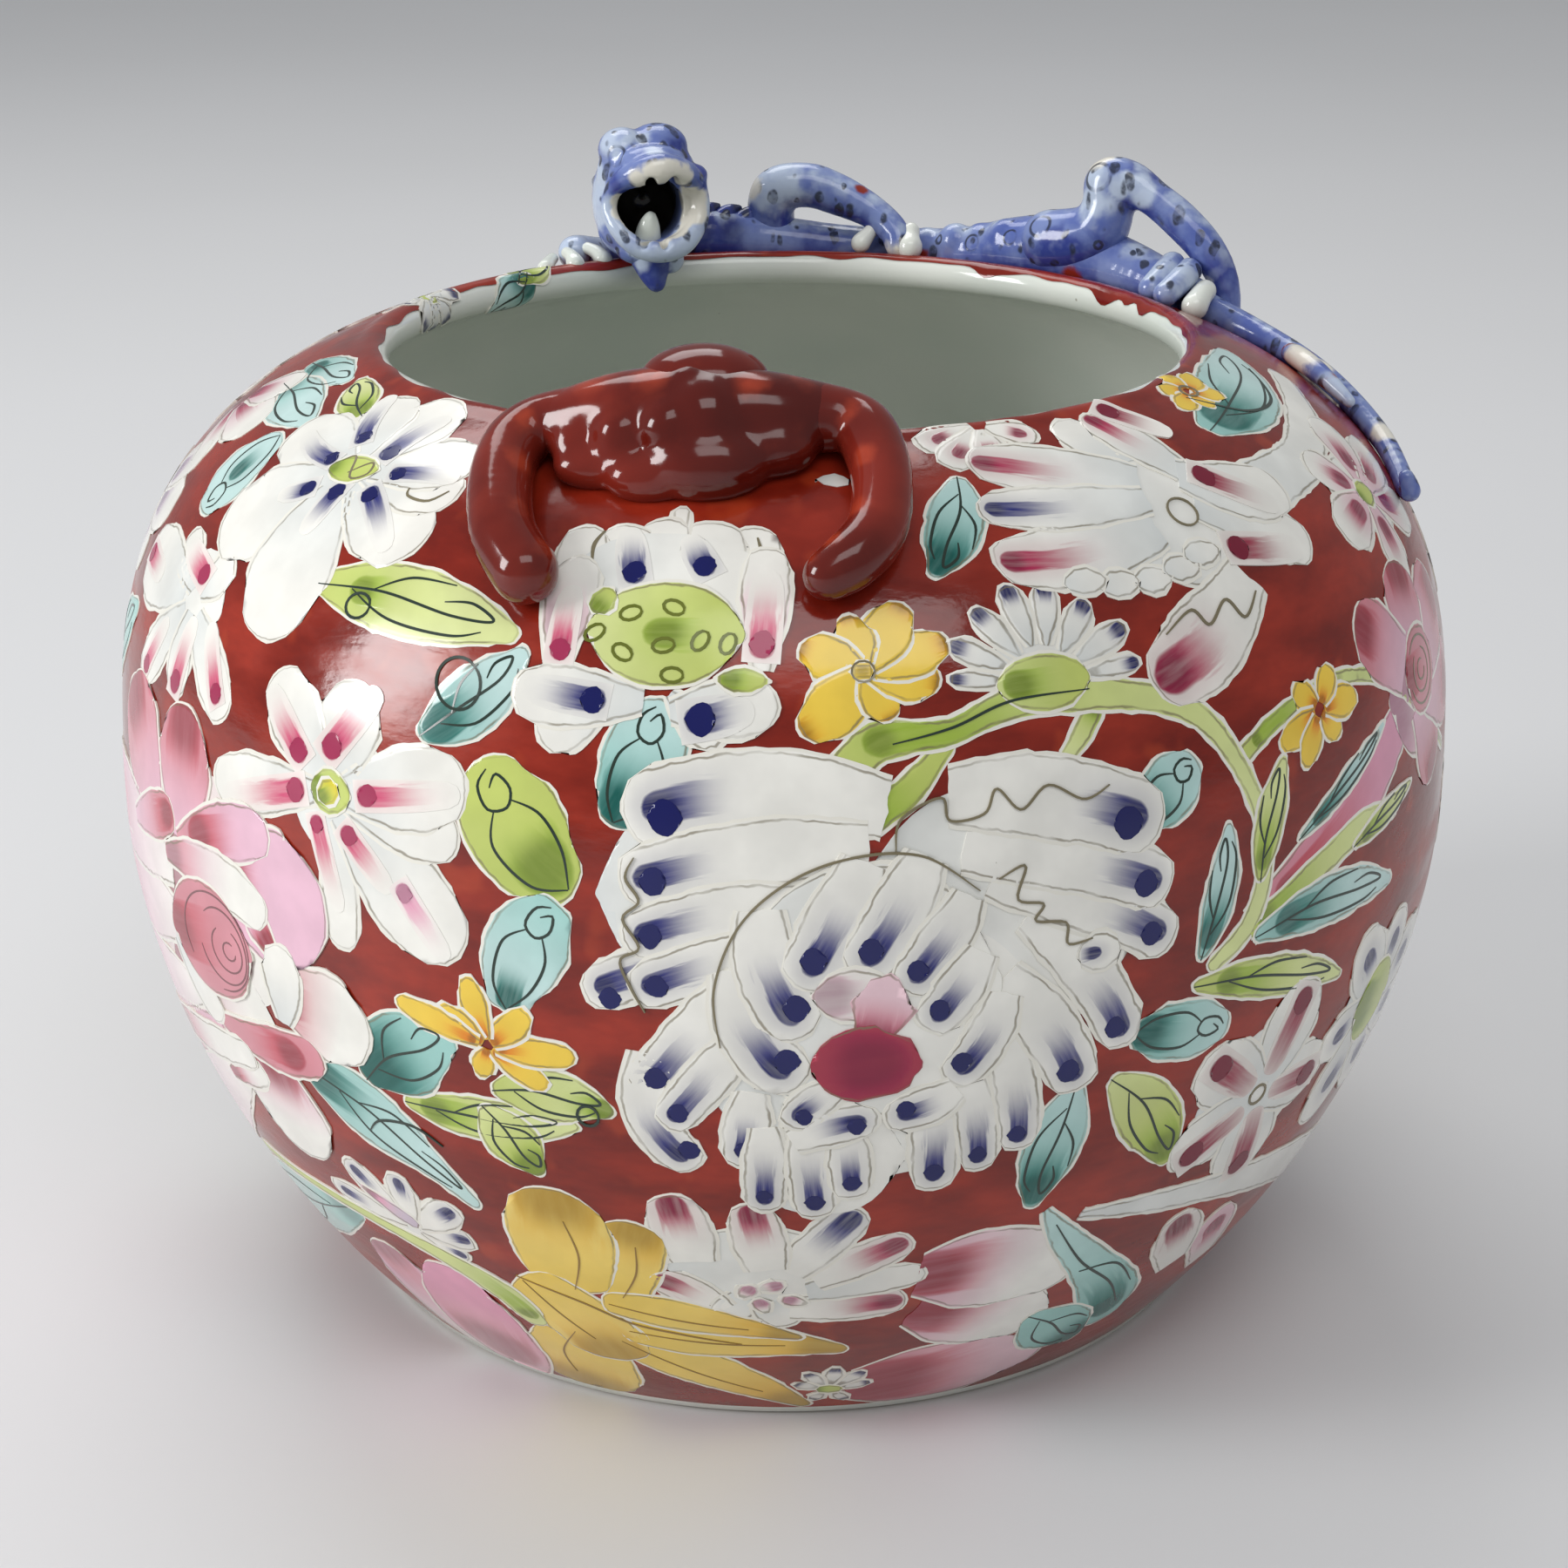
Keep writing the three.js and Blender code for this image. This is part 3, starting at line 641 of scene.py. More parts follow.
def dab(shape, head, tail, half, ink, layer, bend=0, fade=1.1):
    """A loaded touch over plain white, from a round dark head drawn out to a pale tail."""
    scale = degree(head[1])
    run = Vector(((tail[0] - head[0]) * scale, tail[1] - head[1]))
    back = run.normalized() * DAB_MARGIN * half
    start = head[0] - back.x / scale, head[1] - back.y
    share = back.length / (back.length + run.length)
    paint = Paint(WHITE, WHITE, ink, share, fade, 0.7)
    petal(shape, start, tail, DAB_MARGIN * half, paint, layer, bend, DAB, halo=NO_OUTLINE, ragged=0,
          cell=0.55)
    head_drop(shape, head, half, ink, layer + 1)


aster = open_flower()
disc(aster, (-48.3, 49.6), 10, 8, PLAIN_WHITE, 0, halo=NO_OUTLINE)
bloom(aster, (-48.3, 50.4), [
    (-54.8, 61.6, 4.1), (-45, 63.2, 5), (-33.6, 55, 4.2, 0.3), (-33, 50.2, 3.6), (-34.2, 42.8, 5.2, 0.4),
    (-63.8, 51.4, 4.9, -0.5), (-60.4, 38, 6.4, 0.2), (-46.4, 30.2, 6.6),
], PLAIN_WHITE)
for head, tail, half, bend in [
    ((-51.8, 54.4), (-57, 61), 1, 0.4), ((-45.8, 53.6), (-43.8, 60.6), 1.15, 0.4),
    ((-42.2, 51.2), (-34.6, 52.2), 0.95, 0.5), ((-43.4, 48), (-37.2, 42.4), 1.05, 0.4),
    ((-47.8, 47.2), (-48, 41.6), 1.1, 0), ((-51.9, 46.4), (-55.2, 44.4), 1.05, 0),
    ((-52.8, 50.6), (-61.4, 52), 0.95, 0.5),
]:
    dab(aster, head, tail, half, NAVY, 2, bend)
wire(aster, [(-34.6, 50.6), (-36.2, 48.9), (-38.8, 49), (-39.4, 50)], 2)
disc(aster, (-48.4, 50.3), 3.6, 2.2, LIME_HEART, 3, turn=12)
wire(aster, [(-50.9, 50.8), (-49.6, 51.8), (-47.7, 49.2), (-45.9, 50.2), (-46.6, 51.7), (-48.6, 49.6)], 4,
     0.13)
close_flower(aster, "white_aster")

# The leaves about the aster
# Leaves and curled buds fill the spaces between flowers: aqua or lime glass-like enamel with one darker blob
# and veins drawn over it with a fine dark brush.
AQUA, PALE_AQUA, TEAL = look(160, 208, 200), look(196, 224, 220), look(26, 118, 108)
LEAF_INK = look(44, 58, 50)
BLADE, BUD = (0.34, 0.86, 1, 0.8, 0.3), (0.55, 0.95, 1, 0.9, 0.6)
TEAL_BELOW = Paint(AQUA, PALE_AQUA, TEAL, 0.2, 0.75, 0.6)
TEAL_ABOVE = Paint(PALE_AQUA, AQUA, TEAL, 0.82, 0.25, 0.62)
LIME_BELOW = Paint(LIME, PALE_LIME, DEEP_LIME, 0.2, 0.8, 0.6)
LIME_ABOVE = Paint(PALE_LIME, LIME, DEEP_LIME, 0.82, 0.3, 0.6)
LEAF_VEINS = (
    ((0.02, 0.1), (0.35, -0.08), (0.7, 0.05), (0.86, -0.25), (0.76, -0.5), (0.64, -0.25)),
    ((0.2, 0.02), (0.42, 0.55), (0.72, 0.62), (0.84, 0.3)),
    ((0.3, -0.08), (0.46, -0.6), (0.66, -0.78)),
)
BUD_VEINS = (
    ((0.1, 0.1), (0.17, 0.38), (0.3, 0.3), (0.34, -0.05), (0.24, -0.26), (0.14, -0.1), (0.2, 0.14)),
    ((0.32, 0.2), (0.5, 0.55), (0.78, 0.5), (0.94, 0)),
    ((0.3, -0.16), (0.48, -0.52), (0.76, -0.5), (0.94, 0)),
)


def leaf(shape, root, tip, half, paint, layer=1, bend=0, veins=LEAF_VEINS, widths=BLADE):
    """A leaf or a bud with its veins, which are places by share of its length and of its half-width."""
    blade = petal(shape, root, tip, half, paint, layer, bend, widths, root_bow=0.7, open_root=False)
    for vein in veins:
        wire(shape, [blade.place(*place) for place in vein], layer + 1, 0.14, LEAF_INK)


def bud(shape, root, tip, half, paint, layer=1, bend=0):
    leaf(shape, root, tip, half, paint, layer, bend, BUD_VEINS, BUD)


leaves = open_flower()
leaf(leaves, (-56.4, 56.6), (-67.8, 60.8), 2.8, LIME_BELOW, 0)
leaf(leaves, (-85, 56.8), (-68.6, 59.6), 3.6, Paint(AQUA, PALE_AQUA, TEAL, 0.2, 0.6, 0.4), 0)
leaf(leaves, (-82, 53.4), (-62.6, 52.8), 4, Paint(PALE_AQUA, PALE_AQUA, AQUA, 0.2, 0.7, 0.6), 1, 0.6)
bud(leaves, (-66.4, 38.2), (-65.2, 50.6), 5, Paint(PALE_AQUA, PALE_AQUA, TEAL, 0.5, 0.9, 0.3), 1)
leaf(leaves, (-43, 37.6), (-21.5, 36.2), 4, Paint(LIME, PALE_LIME, DEEP_LIME, 0.25, 0.5, 0.4), 0, 1)
wire(leaves, ring_places((-37.4, 36.4), 1.5, 1.3, steps=10), 2, 0.15, LEAF_INK)
leaf(leaves, (-28.6, 25.4), (-20.4, 35.4), 3.6, TEAL_BELOW, 1, -0.8)
wire(leaves, ring_places((-25.8, 31), 2.3, 2.6, 40, steps=12), 3, 0.15, LEAF_INK)
close_flower(leaves, "leaves_about_aster")

# The pink flowers at the left
# Long petals of white shading to pink, each with a magenta stripe from the heart, as on a cosmos.
ROSE, DEEP_ROSE = look(172, 34, 78), look(150, 26, 60)
PINK, PALE_PINK = look(226, 156, 182), look(238, 204, 212)
ROSE_FROM_HEART = Paint(PALE_PINK, WHITE, ROSE, 0.1, 0.92, 0.34)
PINK_INK = look(204, 62, 108)
left_pink = open_flower()
disc(left_pink, (-58.6, 31), 6.4, 5.4, PLAIN_WHITE, 0, halo=NO_OUTLINE)
bloom(left_pink, (-58.6, 31), [
    (-74.8, 31, 4.8), (-66.6, 19.6, 3.4), (-58, 20.4, 3.2), (-49.4, 21.2, 3.2, 0.4), (-65.6, 36.4, 2.8),
    (-54.6, 36.6, 3),
], PLAIN_WHITE)
for head, tail, half in [((-73.4, 31), (-67.4, 30.4), 1.15), ((-65.4, 21.4), (-62.2, 27.4), 1),
                         ((-58.2, 22.2), (-57.2, 29.4), 1.25), ((-51.2, 23.4), (-54.4, 29.8), 1.1),
                         ((-58.8, 33.6), (-64.6, 35.4), 1.2)]:
    dab(left_pink, head, tail, half, PINK_INK, 2)
bloom(left_pink, (-88, 48), [(-72.6, 48.6, 4.2), (-78, 55, 3.6), (-78, 41, 3.4)], ROSE_FROM_HEART)
bloom(left_pink, (-90, 33), [(-74.8, 36, 4.2), (-78, 42.5, 3.4), (-78.4, 28, 3.6)],
      Paint(WHITE, WHITE, look(150, 110, 150), 0.35, 0.9, 0.5))
leaf(left_pink, (-86, 13.4), (-72, 25.2), 4.2, Paint(look(136, 178, 170), AQUA, TEAL, 0.2, 0.7, 0.5), 0)
close_flower(left_pink, "pink_flowers_left")

star = open_flower()
disc(star, (-35.4, 18.2), 7.2, 6.6, PLAIN_WHITE, 0, halo=NO_OUTLINE)
bloom(star, (-36.2, 18), [
    (-34.6, 29.4, 4.5), (-43.8, 28.2, 4), (-50.2, 15, 3.5), (-35, 2, 2.7, 0.3), (-24.2, 15.8, 3.4),
    (-23.8, 21.6, 4.6), (-24.4, 4.4, 5.2),
], PLAIN_WHITE, 1, 0.1)
for head, tail, half in [
    ((-36.4, 22.6), (-32.6, 29), 1.35), ((-39.9, 21.2), (-44.2, 26.4), 1.25),
    ((-39.9, 17.2), (-49, 13.4), 1.25), ((-37.4, 14.4), (-35.2, 6), 0.95),
    ((-34.2, 14.2), (-30.2, 9.6), 1.05), ((-32.6, 18.6), (-24.4, 20.6), 1.15),
]:
    dab(star, head, tail, half, PINK_INK, 2)
dab(star, (-29, 9.8), (-25.4, 3.8), 1, PINK, 2)
disc(star, (-36.2, 18.1), 2.8, 2.6, Paint(PALE_LIME, LIME, DEEP_LIME, 0.3, 0.9, 0.6), 3)
disc(star, (-36.4, 18), 1.7, 1.6, Paint(LIME, look(222, 206, 60), DEEP_LIME, 0.3, 0.9, 0.5), 4, 40)
close_flower(star, "pink_star")

# The lotus under the bat
# A lime seed pod with its seeds outlined, held by white petals with touches of navy and pink.
SEED_INK = look(104, 112, 40)
lotus = open_flower()
for root, tip, half in [
    ((-9.6, 44), (-9.8, 52.4), 1.3), ((-16.8, 38), (-18.6, 49), 3), ((-3.4, 38), (-2.4, 49.9), 3.2),
    ((-14.2, 38), (-14.4, 49.6), 3.4), ((-6.8, 38), (-6.6, 50.5), 4), ((-10.8, 38), (-11, 50.6), 3.2),
]:
    petal(lotus, root, tip, half, PLAIN_WHITE, 0)
disc(lotus, (-10, 42.6), 10, 6, PLAIN_WHITE, 1, halo=NO_OUTLINE)
dab(lotus, (-12.9, 43.9), (-14.4, 49), 1.2, NAVY, 2)
dab(lotus, (-6.9, 45), (-8.8, 48.4), 1.15, NAVY, 2)
wire(lotus, [(-16.6, 48.4), (-17.2, 46.6), (-16.8, 44.4)], 2, 0.2)
wire(lotus, [(-2.4, 48.4), (-2, 46.4), (-2.4, 44.4)], 2, 0.2)
BLUSHED = Paint(WHITE, WHITE, PALE_PINK, 0.4, 0.9, 0.8)
petal(lotus, (-17.8, 33.6), (-18, 45.4), 3, BLUSHED, 3)
dab(lotus, (-17.8, 35.6), (-17.9, 42), 1.1, PINK_INK, 4)
petal(lotus, (-1.7, 34.4), (-1.4, 47.4), 2.7, BLUSHED, 3)
dab(lotus, (-1.7, 37), (-1.3, 44.6), 1.3, PINK_INK, 4)
petal(lotus, (-13.4, 31), (-18.6, 26.6), 2.8, PLAIN_WHITE, 2)
petal(lotus, (-10.6, 31.2), (-21.2, 31), 3.3, PLAIN_WHITE, 3)
dab(lotus, (-14.6, 31), (-20.4, 31.6), 1.25, NAVY, 4)
petal(lotus, (-8.6, 32), (-4.6, 27.4), 2.2, PLAIN_WHITE, 2)
petal(lotus, (-8.6, 30.4), (-0.2, 31.4), 3.2, PLAIN_WHITE, 3)
dab(lotus, (-6.2, 29.8), (-2.2, 30.8), 1.5, NAVY, 4)
disc(lotus, (-9.5, 37.8), 7.6, 5.5, Paint(PALE_LIME, LIME, DEEP_LIME, 0.5, 0.8, 0.3), 5)
disc(lotus, (-15, 40.6), 1.7, 1.7, Paint(PALE_LIME, LIME, DEEP_LIME, 0.3, 0.9, 0.7), 6, 60)
leaf(lotus, (-5.4, 33.6), (-0.8, 33.4), 1.5, Paint(LIME, LIME, DEEP_LIME, 0.3, 0.9, 0.7), 6, veins=())
for place, turn in [((-12.5, 39.6), 20), ((-9, 40.4), -20), ((-9.5, 36.6), 10), ((-6.6, 37.2), 60),
                    ((-12.7, 35.7), -30), ((-8.6, 33.8), 0), ((-4.4, 37), 70), ((-15.2, 37.4), 40)]:
    wire(lotus, ring_places(place, 1.05, 0.7, turn, steps=9), 7, 0.16, SEED_INK)
disc(lotus, (5.4, 56), 1.7, 1, PLAIN_WHITE, 0, ragged=0.6, halo=NO_OUTLINE)
close_flower(lotus, "lotus")

# The curled buds and the yellow primrose
# Buds of aqua and lime lie between the lotus and the big peony. The primrose has seven short yellow petals
# shading to amber.
YELLOW, ORANGE = look(240, 204, 76), look(222, 128, 30)
ORANGE_FROM_HEART = Paint(look(238, 194, 64), YELLOW, ORANGE, 0.1, 0.6, 0.32)
SHORT = (0.5, 0.95, 1, 0.7)
buds = open_flower()
bud(buds, (-9.2, 31.8), (-12.6, 19.2), 4.2, TEAL_ABOVE, 1, 0.5)
bud(buds, (-22.6, 24.8), (-15.2, 12.4), 5.6, Paint(LIME, LIME, DEEP_LIME, 0.75, 0.3, 0.6), 1, -1.2)
bud(buds, (-16.2, 11.6), (-20.8, -0.8), 4.4, Paint(AQUA, PALE_AQUA, TEAL, 0.86, 0.5, 0.34), 1, -1)
leaf(buds, (18.4, 55.6), (12.6, 43.2), 3.2, TEAL_ABOVE, 1, 0.6)
close_flower(buds, "curled_buds")

primrose = open_flower()
bloom(primrose, (6.2, 34.4), [
    (1, 36.8, 2.5), (5, 40, 2.3), (9.9, 41, 2.7), (13.2, 36.8, 2.5), (12.2, 32.8, 2.5), (8.2, 29.4, 2.2),
    (1.2, 28.4, 3, 0.4),
], Paint(look(244, 210, 84), YELLOW, look(228, 164, 40), 0.95, 0.6, 0.4), 1, 0.05, SHORT)
disc(primrose, (6.1, 34.3), 1.4, 1.3, Paint(look(240, 216, 116), YELLOW, YELLOW, 0.5, 0.9, 0.5), 3)
wire(primrose, ring_places((6.1, 34.3), 1.1, 1), 4, 0.1)
close_flower(primrose, "yellow_primrose")

# The daisy and the lime vine
# A half-hidden daisy with navy tips, and below it a vine in one long brush stroke with its side shoots.
NAVY_AT_TIP = Paint(SHADED_WHITE, WHITE, NAVY, 0.84, 0.5, 0.5)
daisy = open_flower()
disc(daisy, (20.4, 33), 6.5, 4.2, PLAIN_WHITE, 0)
bloom(daisy, (20.4, 32), [
    (12.4, 33.2, 1.2), (12.8, 36.6, 1.5), (15.4, 40, 1.6), (18.8, 42.2, 1.7), (22.4, 42, 1.7),
    (25.8, 39.6, 1.7), (28.6, 36.4, 1.6), (29.2, 32.6, 1.3),
], NAVY_AT_TIP, 1, 0.35)
disc(daisy, (20.3, 32), 4.9, 3.1, Paint(PALE_LIME, LIME, DEEP_LIME, 0.3, 0.8, 0.5), 2)
close_flower(daisy, "half_daisy")

STEM = Paint(LIME, PALE_LIME, DEEP_LIME, 0.1, 0.5, 0.7)
vine = open_flower()
lay(vine, [(2.5, 21.6, 1.6), (6.5, 27.4, 2.2), (12.5, 28.2, 1.5), (17, 30.2, 1.7), (23, 30.4, 1.9),
           (28.6, 29.2, 1.7), (33.4, 26.2, 1.5), (36.4, 21, 1.3), (38.4, 15.4, 1.3), (39, 9.5, 1.4),
           (37.4, 4, 1.5), (33.4, 0.4, 1.2)], STEM, 1)
lay(vine, [(5.8, 20.2, 1.9), (9.4, 23.4, 1.7), (12.6, 28, 1.2)], Paint(LIME, LIME, DEEP_LIME, 0.1, 0.9, 0.8),
    0)
lay(vine, [(24.4, 29.4, 1.2), (22.6, 26.4, 1.3), (20.8, 24.2, 0.9)], STEM, 0)
lay(vine, [(36.4, 21, 1.2), (42, 24.2, 1.2), (50, 25.4, 1.1), (58, 22.2, 1.1), (66, 15.2, 1),
           (73, 9, 0.8)], STEM, 0)
leaf(vine, (38.4, 8), (41.6, 20.4), 2.4, Paint(LIME, PALE_LIME, DEEP_LIME, 0.2, 0.9, 0.5), 2, 0.6)
lay(vine, [(37.6, 3.4, 1.4), (45, 7, 1.8), (52, 9.4, 1.8), (58, 8.4, 1)], STEM, 0)
wire(vine, [(8, 27.4), (12.6, 28.6), (17.5, 30.6), (24, 30.8)], 3, 0.13, LEAF_INK)
close_flower(vine, "lime_vine")

# The striped hibiscus
# A big white flower seen from the side, its long petals swept back to the left, each with a magenta or navy
# touch that starts dark at the petal's end. A bare white swoosh runs off to the right.
LONG = (0.62, 0.9, 1, 0.82)
ROSE_AT_TIP = Paint(SHADED_WHITE, WHITE, ROSE, 0.88, 0.15, 0.34)
BROAD_ROSE = Paint(WHITE, WHITE, ROSE, 0.84, 0.2, 0.5)
FAR_NAVY = Paint(SHADED_WHITE, WHITE, NAVY, 0.88, 0.2, 0.34)
hibiscus = open_flower()
lay(hibiscus, [(38, 46, 4.5), (55, 46.8, 3.4), (64, 47.4, 3), (74, 50.2, 2.8), (86, 54, 2)],
    PLAIN_WHITE, 0)
disc(hibiscus, (38.5, 47), 8.5, 9, PLAIN_WHITE, 0)
HIBISCUS_STEP = 0.2  # how many layers each petal lies above the last
level = 1
for root, tip, half, paint, bend in [
    ((43, 38.4), (29.6, 29.8), 4.6, BROAD_ROSE, 0.6),
    ((38, 54), (34.8, 62.2), 3.2, PLAIN_WHITE, 0),
    ((40, 54), (42.6, 62.4), 3, PLAIN_WHITE, 0),
    ((36, 45.2), (18.4, 44.4), 3.8, ROSE_AT_TIP, 0.6),
    ((38, 51.4), (20, 57.6), 4, ROSE_AT_TIP, -0.3),
    ((37, 48.8), (18.6, 50.8), 3.1, FAR_NAVY, 0),
    ((44, 51), (39.4, 62), 3.2, ROSE_AT_TIP, 0),
    ((42, 47), (53, 38.4), 3.8, PLAIN_WHITE, 0.3),
    ((43, 51), (55.4, 45.6), 4.2, PLAIN_WHITE, -1.2),
]:
    level += HIBISCUS_STEP
    petal(hibiscus, root, tip, half, paint, level, bend, LONG)
for head, tail, half in [
    ((46, 49.8), (52.2, 43.8), 1.4), ((43.6, 41.2), (51.4, 39), 1.4), ((43.4, 61.6), (48, 56), 1.3),
]:
    dab(hibiscus, head, tail, half, DEEP_ROSE, 5)
for place in [(26.2, 41.2), (29.4, 40.4), (32.8, 40.2), (36.2, 40.8), (39.2, 41.8)]:
    disc(hibiscus, place, 2.5, 1.9, PLAIN_WHITE, 1)
wire(hibiscus, ring_places((40, 46.6), 1.7, 1.7), 6, 0.1)
wire(hibiscus, [(32, 34.6), (35.2, 36.4), (36.6, 34.6), (39.2, 36.6), (40.6, 34.4), (43, 36.6)], 6)
close_flower(hibiscus, "striped_hibiscus")

# The flowers at the lip, right of the bat
# White petals with small magenta dots, a yellow flower, and one broad teal leaf with heavy veins.
DOTTED = Paint(WHITE, WHITE, ROSE, 0.6, 0.2, 0.4)
rim_flowers = open_flower()
bloom(rim_flowers, (24.5, 63), [
    (15.4, 60.6, 2.4), (17.6, 56.8, 2.4), (23.6, 57, 2.2), (31.2, 60, 2.2),
], DOTTED, 0, 0.1)
leaf(rim_flowers, (53.5, 55), (85, 60.4), 5.2, TEAL_BELOW, 1, -0.4)
wire(rim_flowers, [(58, 60), (64, 55), (72, 54), (80, 57.6)], 3, 0.2, LEAF_INK)
bloom(rim_flowers, (60.2, 60.6), [
    (54.2, 58.6, 1.7), (55.6, 62.4, 1.8), (61, 64.6, 1.7), (66.4, 62.2, 1.8), (65, 57.8, 1.8),
    (59.4, 56.8, 1.7),
], ORANGE_FROM_HEART, 2, 0.1, SHORT)
wire(rim_flowers, ring_places((60.2, 60.6), 1.2, 1), 5)
close_flower(rim_flowers, "flowers_at_lip_right")

# The great white peony
# The main flower: fan-shaped lobes of white fingers, each with a navy touch that starts dark at the finger's
# end and is drawn pale towards the lobe's root, round a curled ring of petals and a rose heart.
FINGER = (0.72, 1, 1, 0.94)
FINGER_END = 0.95  # how far a finger runs past the head of its touch, in half-widths
FINGER_TOUCH = 9  # the longest touch, in millimetres
FINGER_HEAD = 0.4  # the dark head's size, in half-widths
DUSTY_ROSE, SOFT_ROSE = look(166, 52, 72), look(212, 142, 152)
DUSTY_HEART = Paint(DUSTY_ROSE, DUSTY_ROSE, ROSE, 0.5, 0, 0.9)


def finger(shape, tail, head, half, layer, bend=0, ink=NAVY):
    """One finger of a lobe. Its touch of ink runs from a dark head near the finger's end back to its tail."""
    scale = degree(head[1])
    run = Vector(((head[0] - tail[0]) * scale, head[1] - tail[1]))
    past = run.normalized() * FINGER_END * half
    tip = head[0] + past.x / scale, head[1] + past.y
    whole = run.length + past.length
    share = run.length / whole
    paint = Paint(WHITE, WHITE, ink, share, max(0.04, share - FINGER_TOUCH / whole), 0.4)
    petal(shape, tail, tip, half, paint, layer, bend, FINGER)
    head_drop(shape, head, FINGER_HEAD * half, ink, layer + 1)


peony = open_flower()
for place, wide, high in [((-4, 13), 12.5, 12), ((16, 10), 15.5, 13.5), ((7, -3), 18, 14.5),
                          ((3, -15), 8, 7.5)]:
    disc(peony, place, wide, high, PLAIN_WHITE, 0, halo=NO_OUTLINE)
for tail, head, half, bend in [
    ((8.5, 13), (-1.5, -20.2), 2.2, 0),
    ((8.5, 0), (-12.6, 2.4), 2.9, -5.6),
    ((7.4, 21.5), (-8.6, 20.6), 4.3, -2),
    ((6, 18), (-9.4, 14.4), 3.5, -1.2),
    ((2, 12.6), (-9.6, 9), 3, -0.8),
    ((0.5, 8.4), (-9.2, 4), 2.9, -0.5),
    ((-3, 5), (-9.4, -5.8), 3, 0),
    ((-10, -3), (-7.2, -14), 2.8, -2.2),
    ((-3, -1), (-7.9, -9.6), 2.6, 0),
    ((-2.4, -7), (-3, -13.8), 2.6, 0),
]:
    finger(peony, tail, head, half, 1, bend)
for tail, head, half, bend in [
    ((12, 22.4), (26, 17.6), 4.2, 1.4),
    ((13, 17), (27.4, 11.2), 3.4, 1.2),
    ((15, 14), (28, 6), 3.2, 1),
    ((18, 10), (25.2, -3.2), 3, 1.2),
    ((16, 4), (21.6, -7.2), 3.2, 0.8),
    ((16, -2), (17.9, -13.8), 2.5, 0.6),
    ((13.6, -6), (14.9, -15.8), 2.4, 0.3),
    ((11.2, -7), (11.6, -17.4), 2.7, 0),
    ((4.6, -11), (5.2, -18.2), 2.4, 0),
    ((-1.4, -11), (-1.5, -19.8), 2.4, 0),
    ((1.6, -11), (2.4, -20.6), 2.5, 0),
]:
    finger(peony, tail, head, half, 1, bend)
disc(peony, (23.6, 5.2), 2.6, 2.4, Paint(WHITE, WHITE, NAVY, 0.4, 0, 0.3), 2)
disc(peony, (5.8, 3.2), 13.4, 13.4, PLAIN_WHITE, 2, ragged=0.4)
for tail, head, half, bend in [
    ((-3.6, 6), (0.2, -3.4), 3.4, -1.6),
    ((-1.8, 12), (0.9, 2.2), 3.4, -1.2),
    ((5.8, 16.6), (2.1, 7), 3.4, 0.3),
    ((10.2, 16.8), (6.2, 7.8), 3.2, 0.4),
    ((13.4, 12.6), (9.6, 5.6), 2.8, 0.4),
    ((14.4, 7), (11.2, 1.4), 2.7, 0.4),
    ((16.2, 2.4), (13, -4.4), 2.7, 0.9),
    ((12.8, -7.4), (9, -9.2), 2.5, 0.6),
    ((0.6, -12.6), (5.4, -10.9), 2.5, 0.6),
    ((4, -6.4), (1.4, -9.6), 2.2, -0.5),
]:
    finger(peony, tail, head, half, 3, bend)
disc(peony, (5, 3.4), 4, 3, Paint(WHITE, WHITE, PALE_PINK, 0.3, 0.9, 0.8), 4)
petal(peony, (6.4, -1.6), (7.6, 5.2), 3, Paint(SOFT_ROSE, PALE_PINK, ROSE, 0, 0.9, 0.8), 5, halo=0,
      ragged=0.6)
disc(peony, (5.9, -3.9), 5.5, 4.1, DUSTY_HEART, 6, halo=0, ragged=0.7)
for line in [
    [(-4.6, -2), (-5, 4), (-3.2, 10.4), (0.4, 14.8), (5, 17), (10, 16.8), (14.2, 13)],
    [(8, 17.4), (8.4, 20.4), (11.4, 22.2), (12, 20), (14.6, 20.4), (15.6, 22.6), (17.4, 20.4), (19.6, 22.4),
     (22.4, 20.6), (24.6, 21.6)],
    [(15.6, 14), (17.6, 15), (17, 11.8), (19, 11), (18.4, 9.4), (20.8, 8.8), (21, 6.6), (23, 6.8)],
    [(-10.8, 16.6), (-11.4, 14.6), (-10.4, 12.4), (-11.6, 10.6), (-10.4, 7.8), (-11.8, 6.4), (-11, 3.6),
     (-10, 1.2)],
]:
    wire(peony, line, 5, 0.12)
close_flower(peony, "white_peony")

# The chrysanthemum under the peony
# White petals crowded round a small heart, each with one broad bar of magenta or navy.
BAR = (0.8, 1, 1, 0.9)
ROSE_BAR = Paint(WHITE, WHITE, ROSE, 0.82, 0.1, 0.5)
NAVY_BAR = Paint(WHITE, WHITE, NAVY, 0.82, 0.1, 0.5)
mum = open_flower()
disc(mum, (-2, -31), 9.5, 7, PLAIN_WHITE, 0)
for root, tip, half, paint, bend in [
    ((-7.6, -30), (-9.2, -20), 3.5, ROSE_BAR, 0),
    ((-1.4, -31), (-2.8, -20.6), 3, ROSE_BAR, 0),
    ((0.4, -31.2), (6.2, -21.8), 2.8, NAVY_BAR, 0),
    ((2.4, -32.6), (10.6, -26.6), 2.7, ROSE_BAR, 0),
    ((2, -34.6), (12.4, -32.2), 2.4, PLAIN_WHITE, 0),
    ((0.6, -37.6), (11.2, -37), 2.9, ROSE_BAR, 0),
    ((-3.4, -35.6), (-5.8, -40.4), 2.5, PLAIN_WHITE, 0),
    ((-5.6, -38.4), (-11.6, -33), 2.8, ROSE_BAR, -0.6),
    ((-1.6, -36.6), (0.8, -41), 2.6, PLAIN_WHITE, 0),
]:
    petal(mum, root, tip, half, paint, 1, bend, BAR)
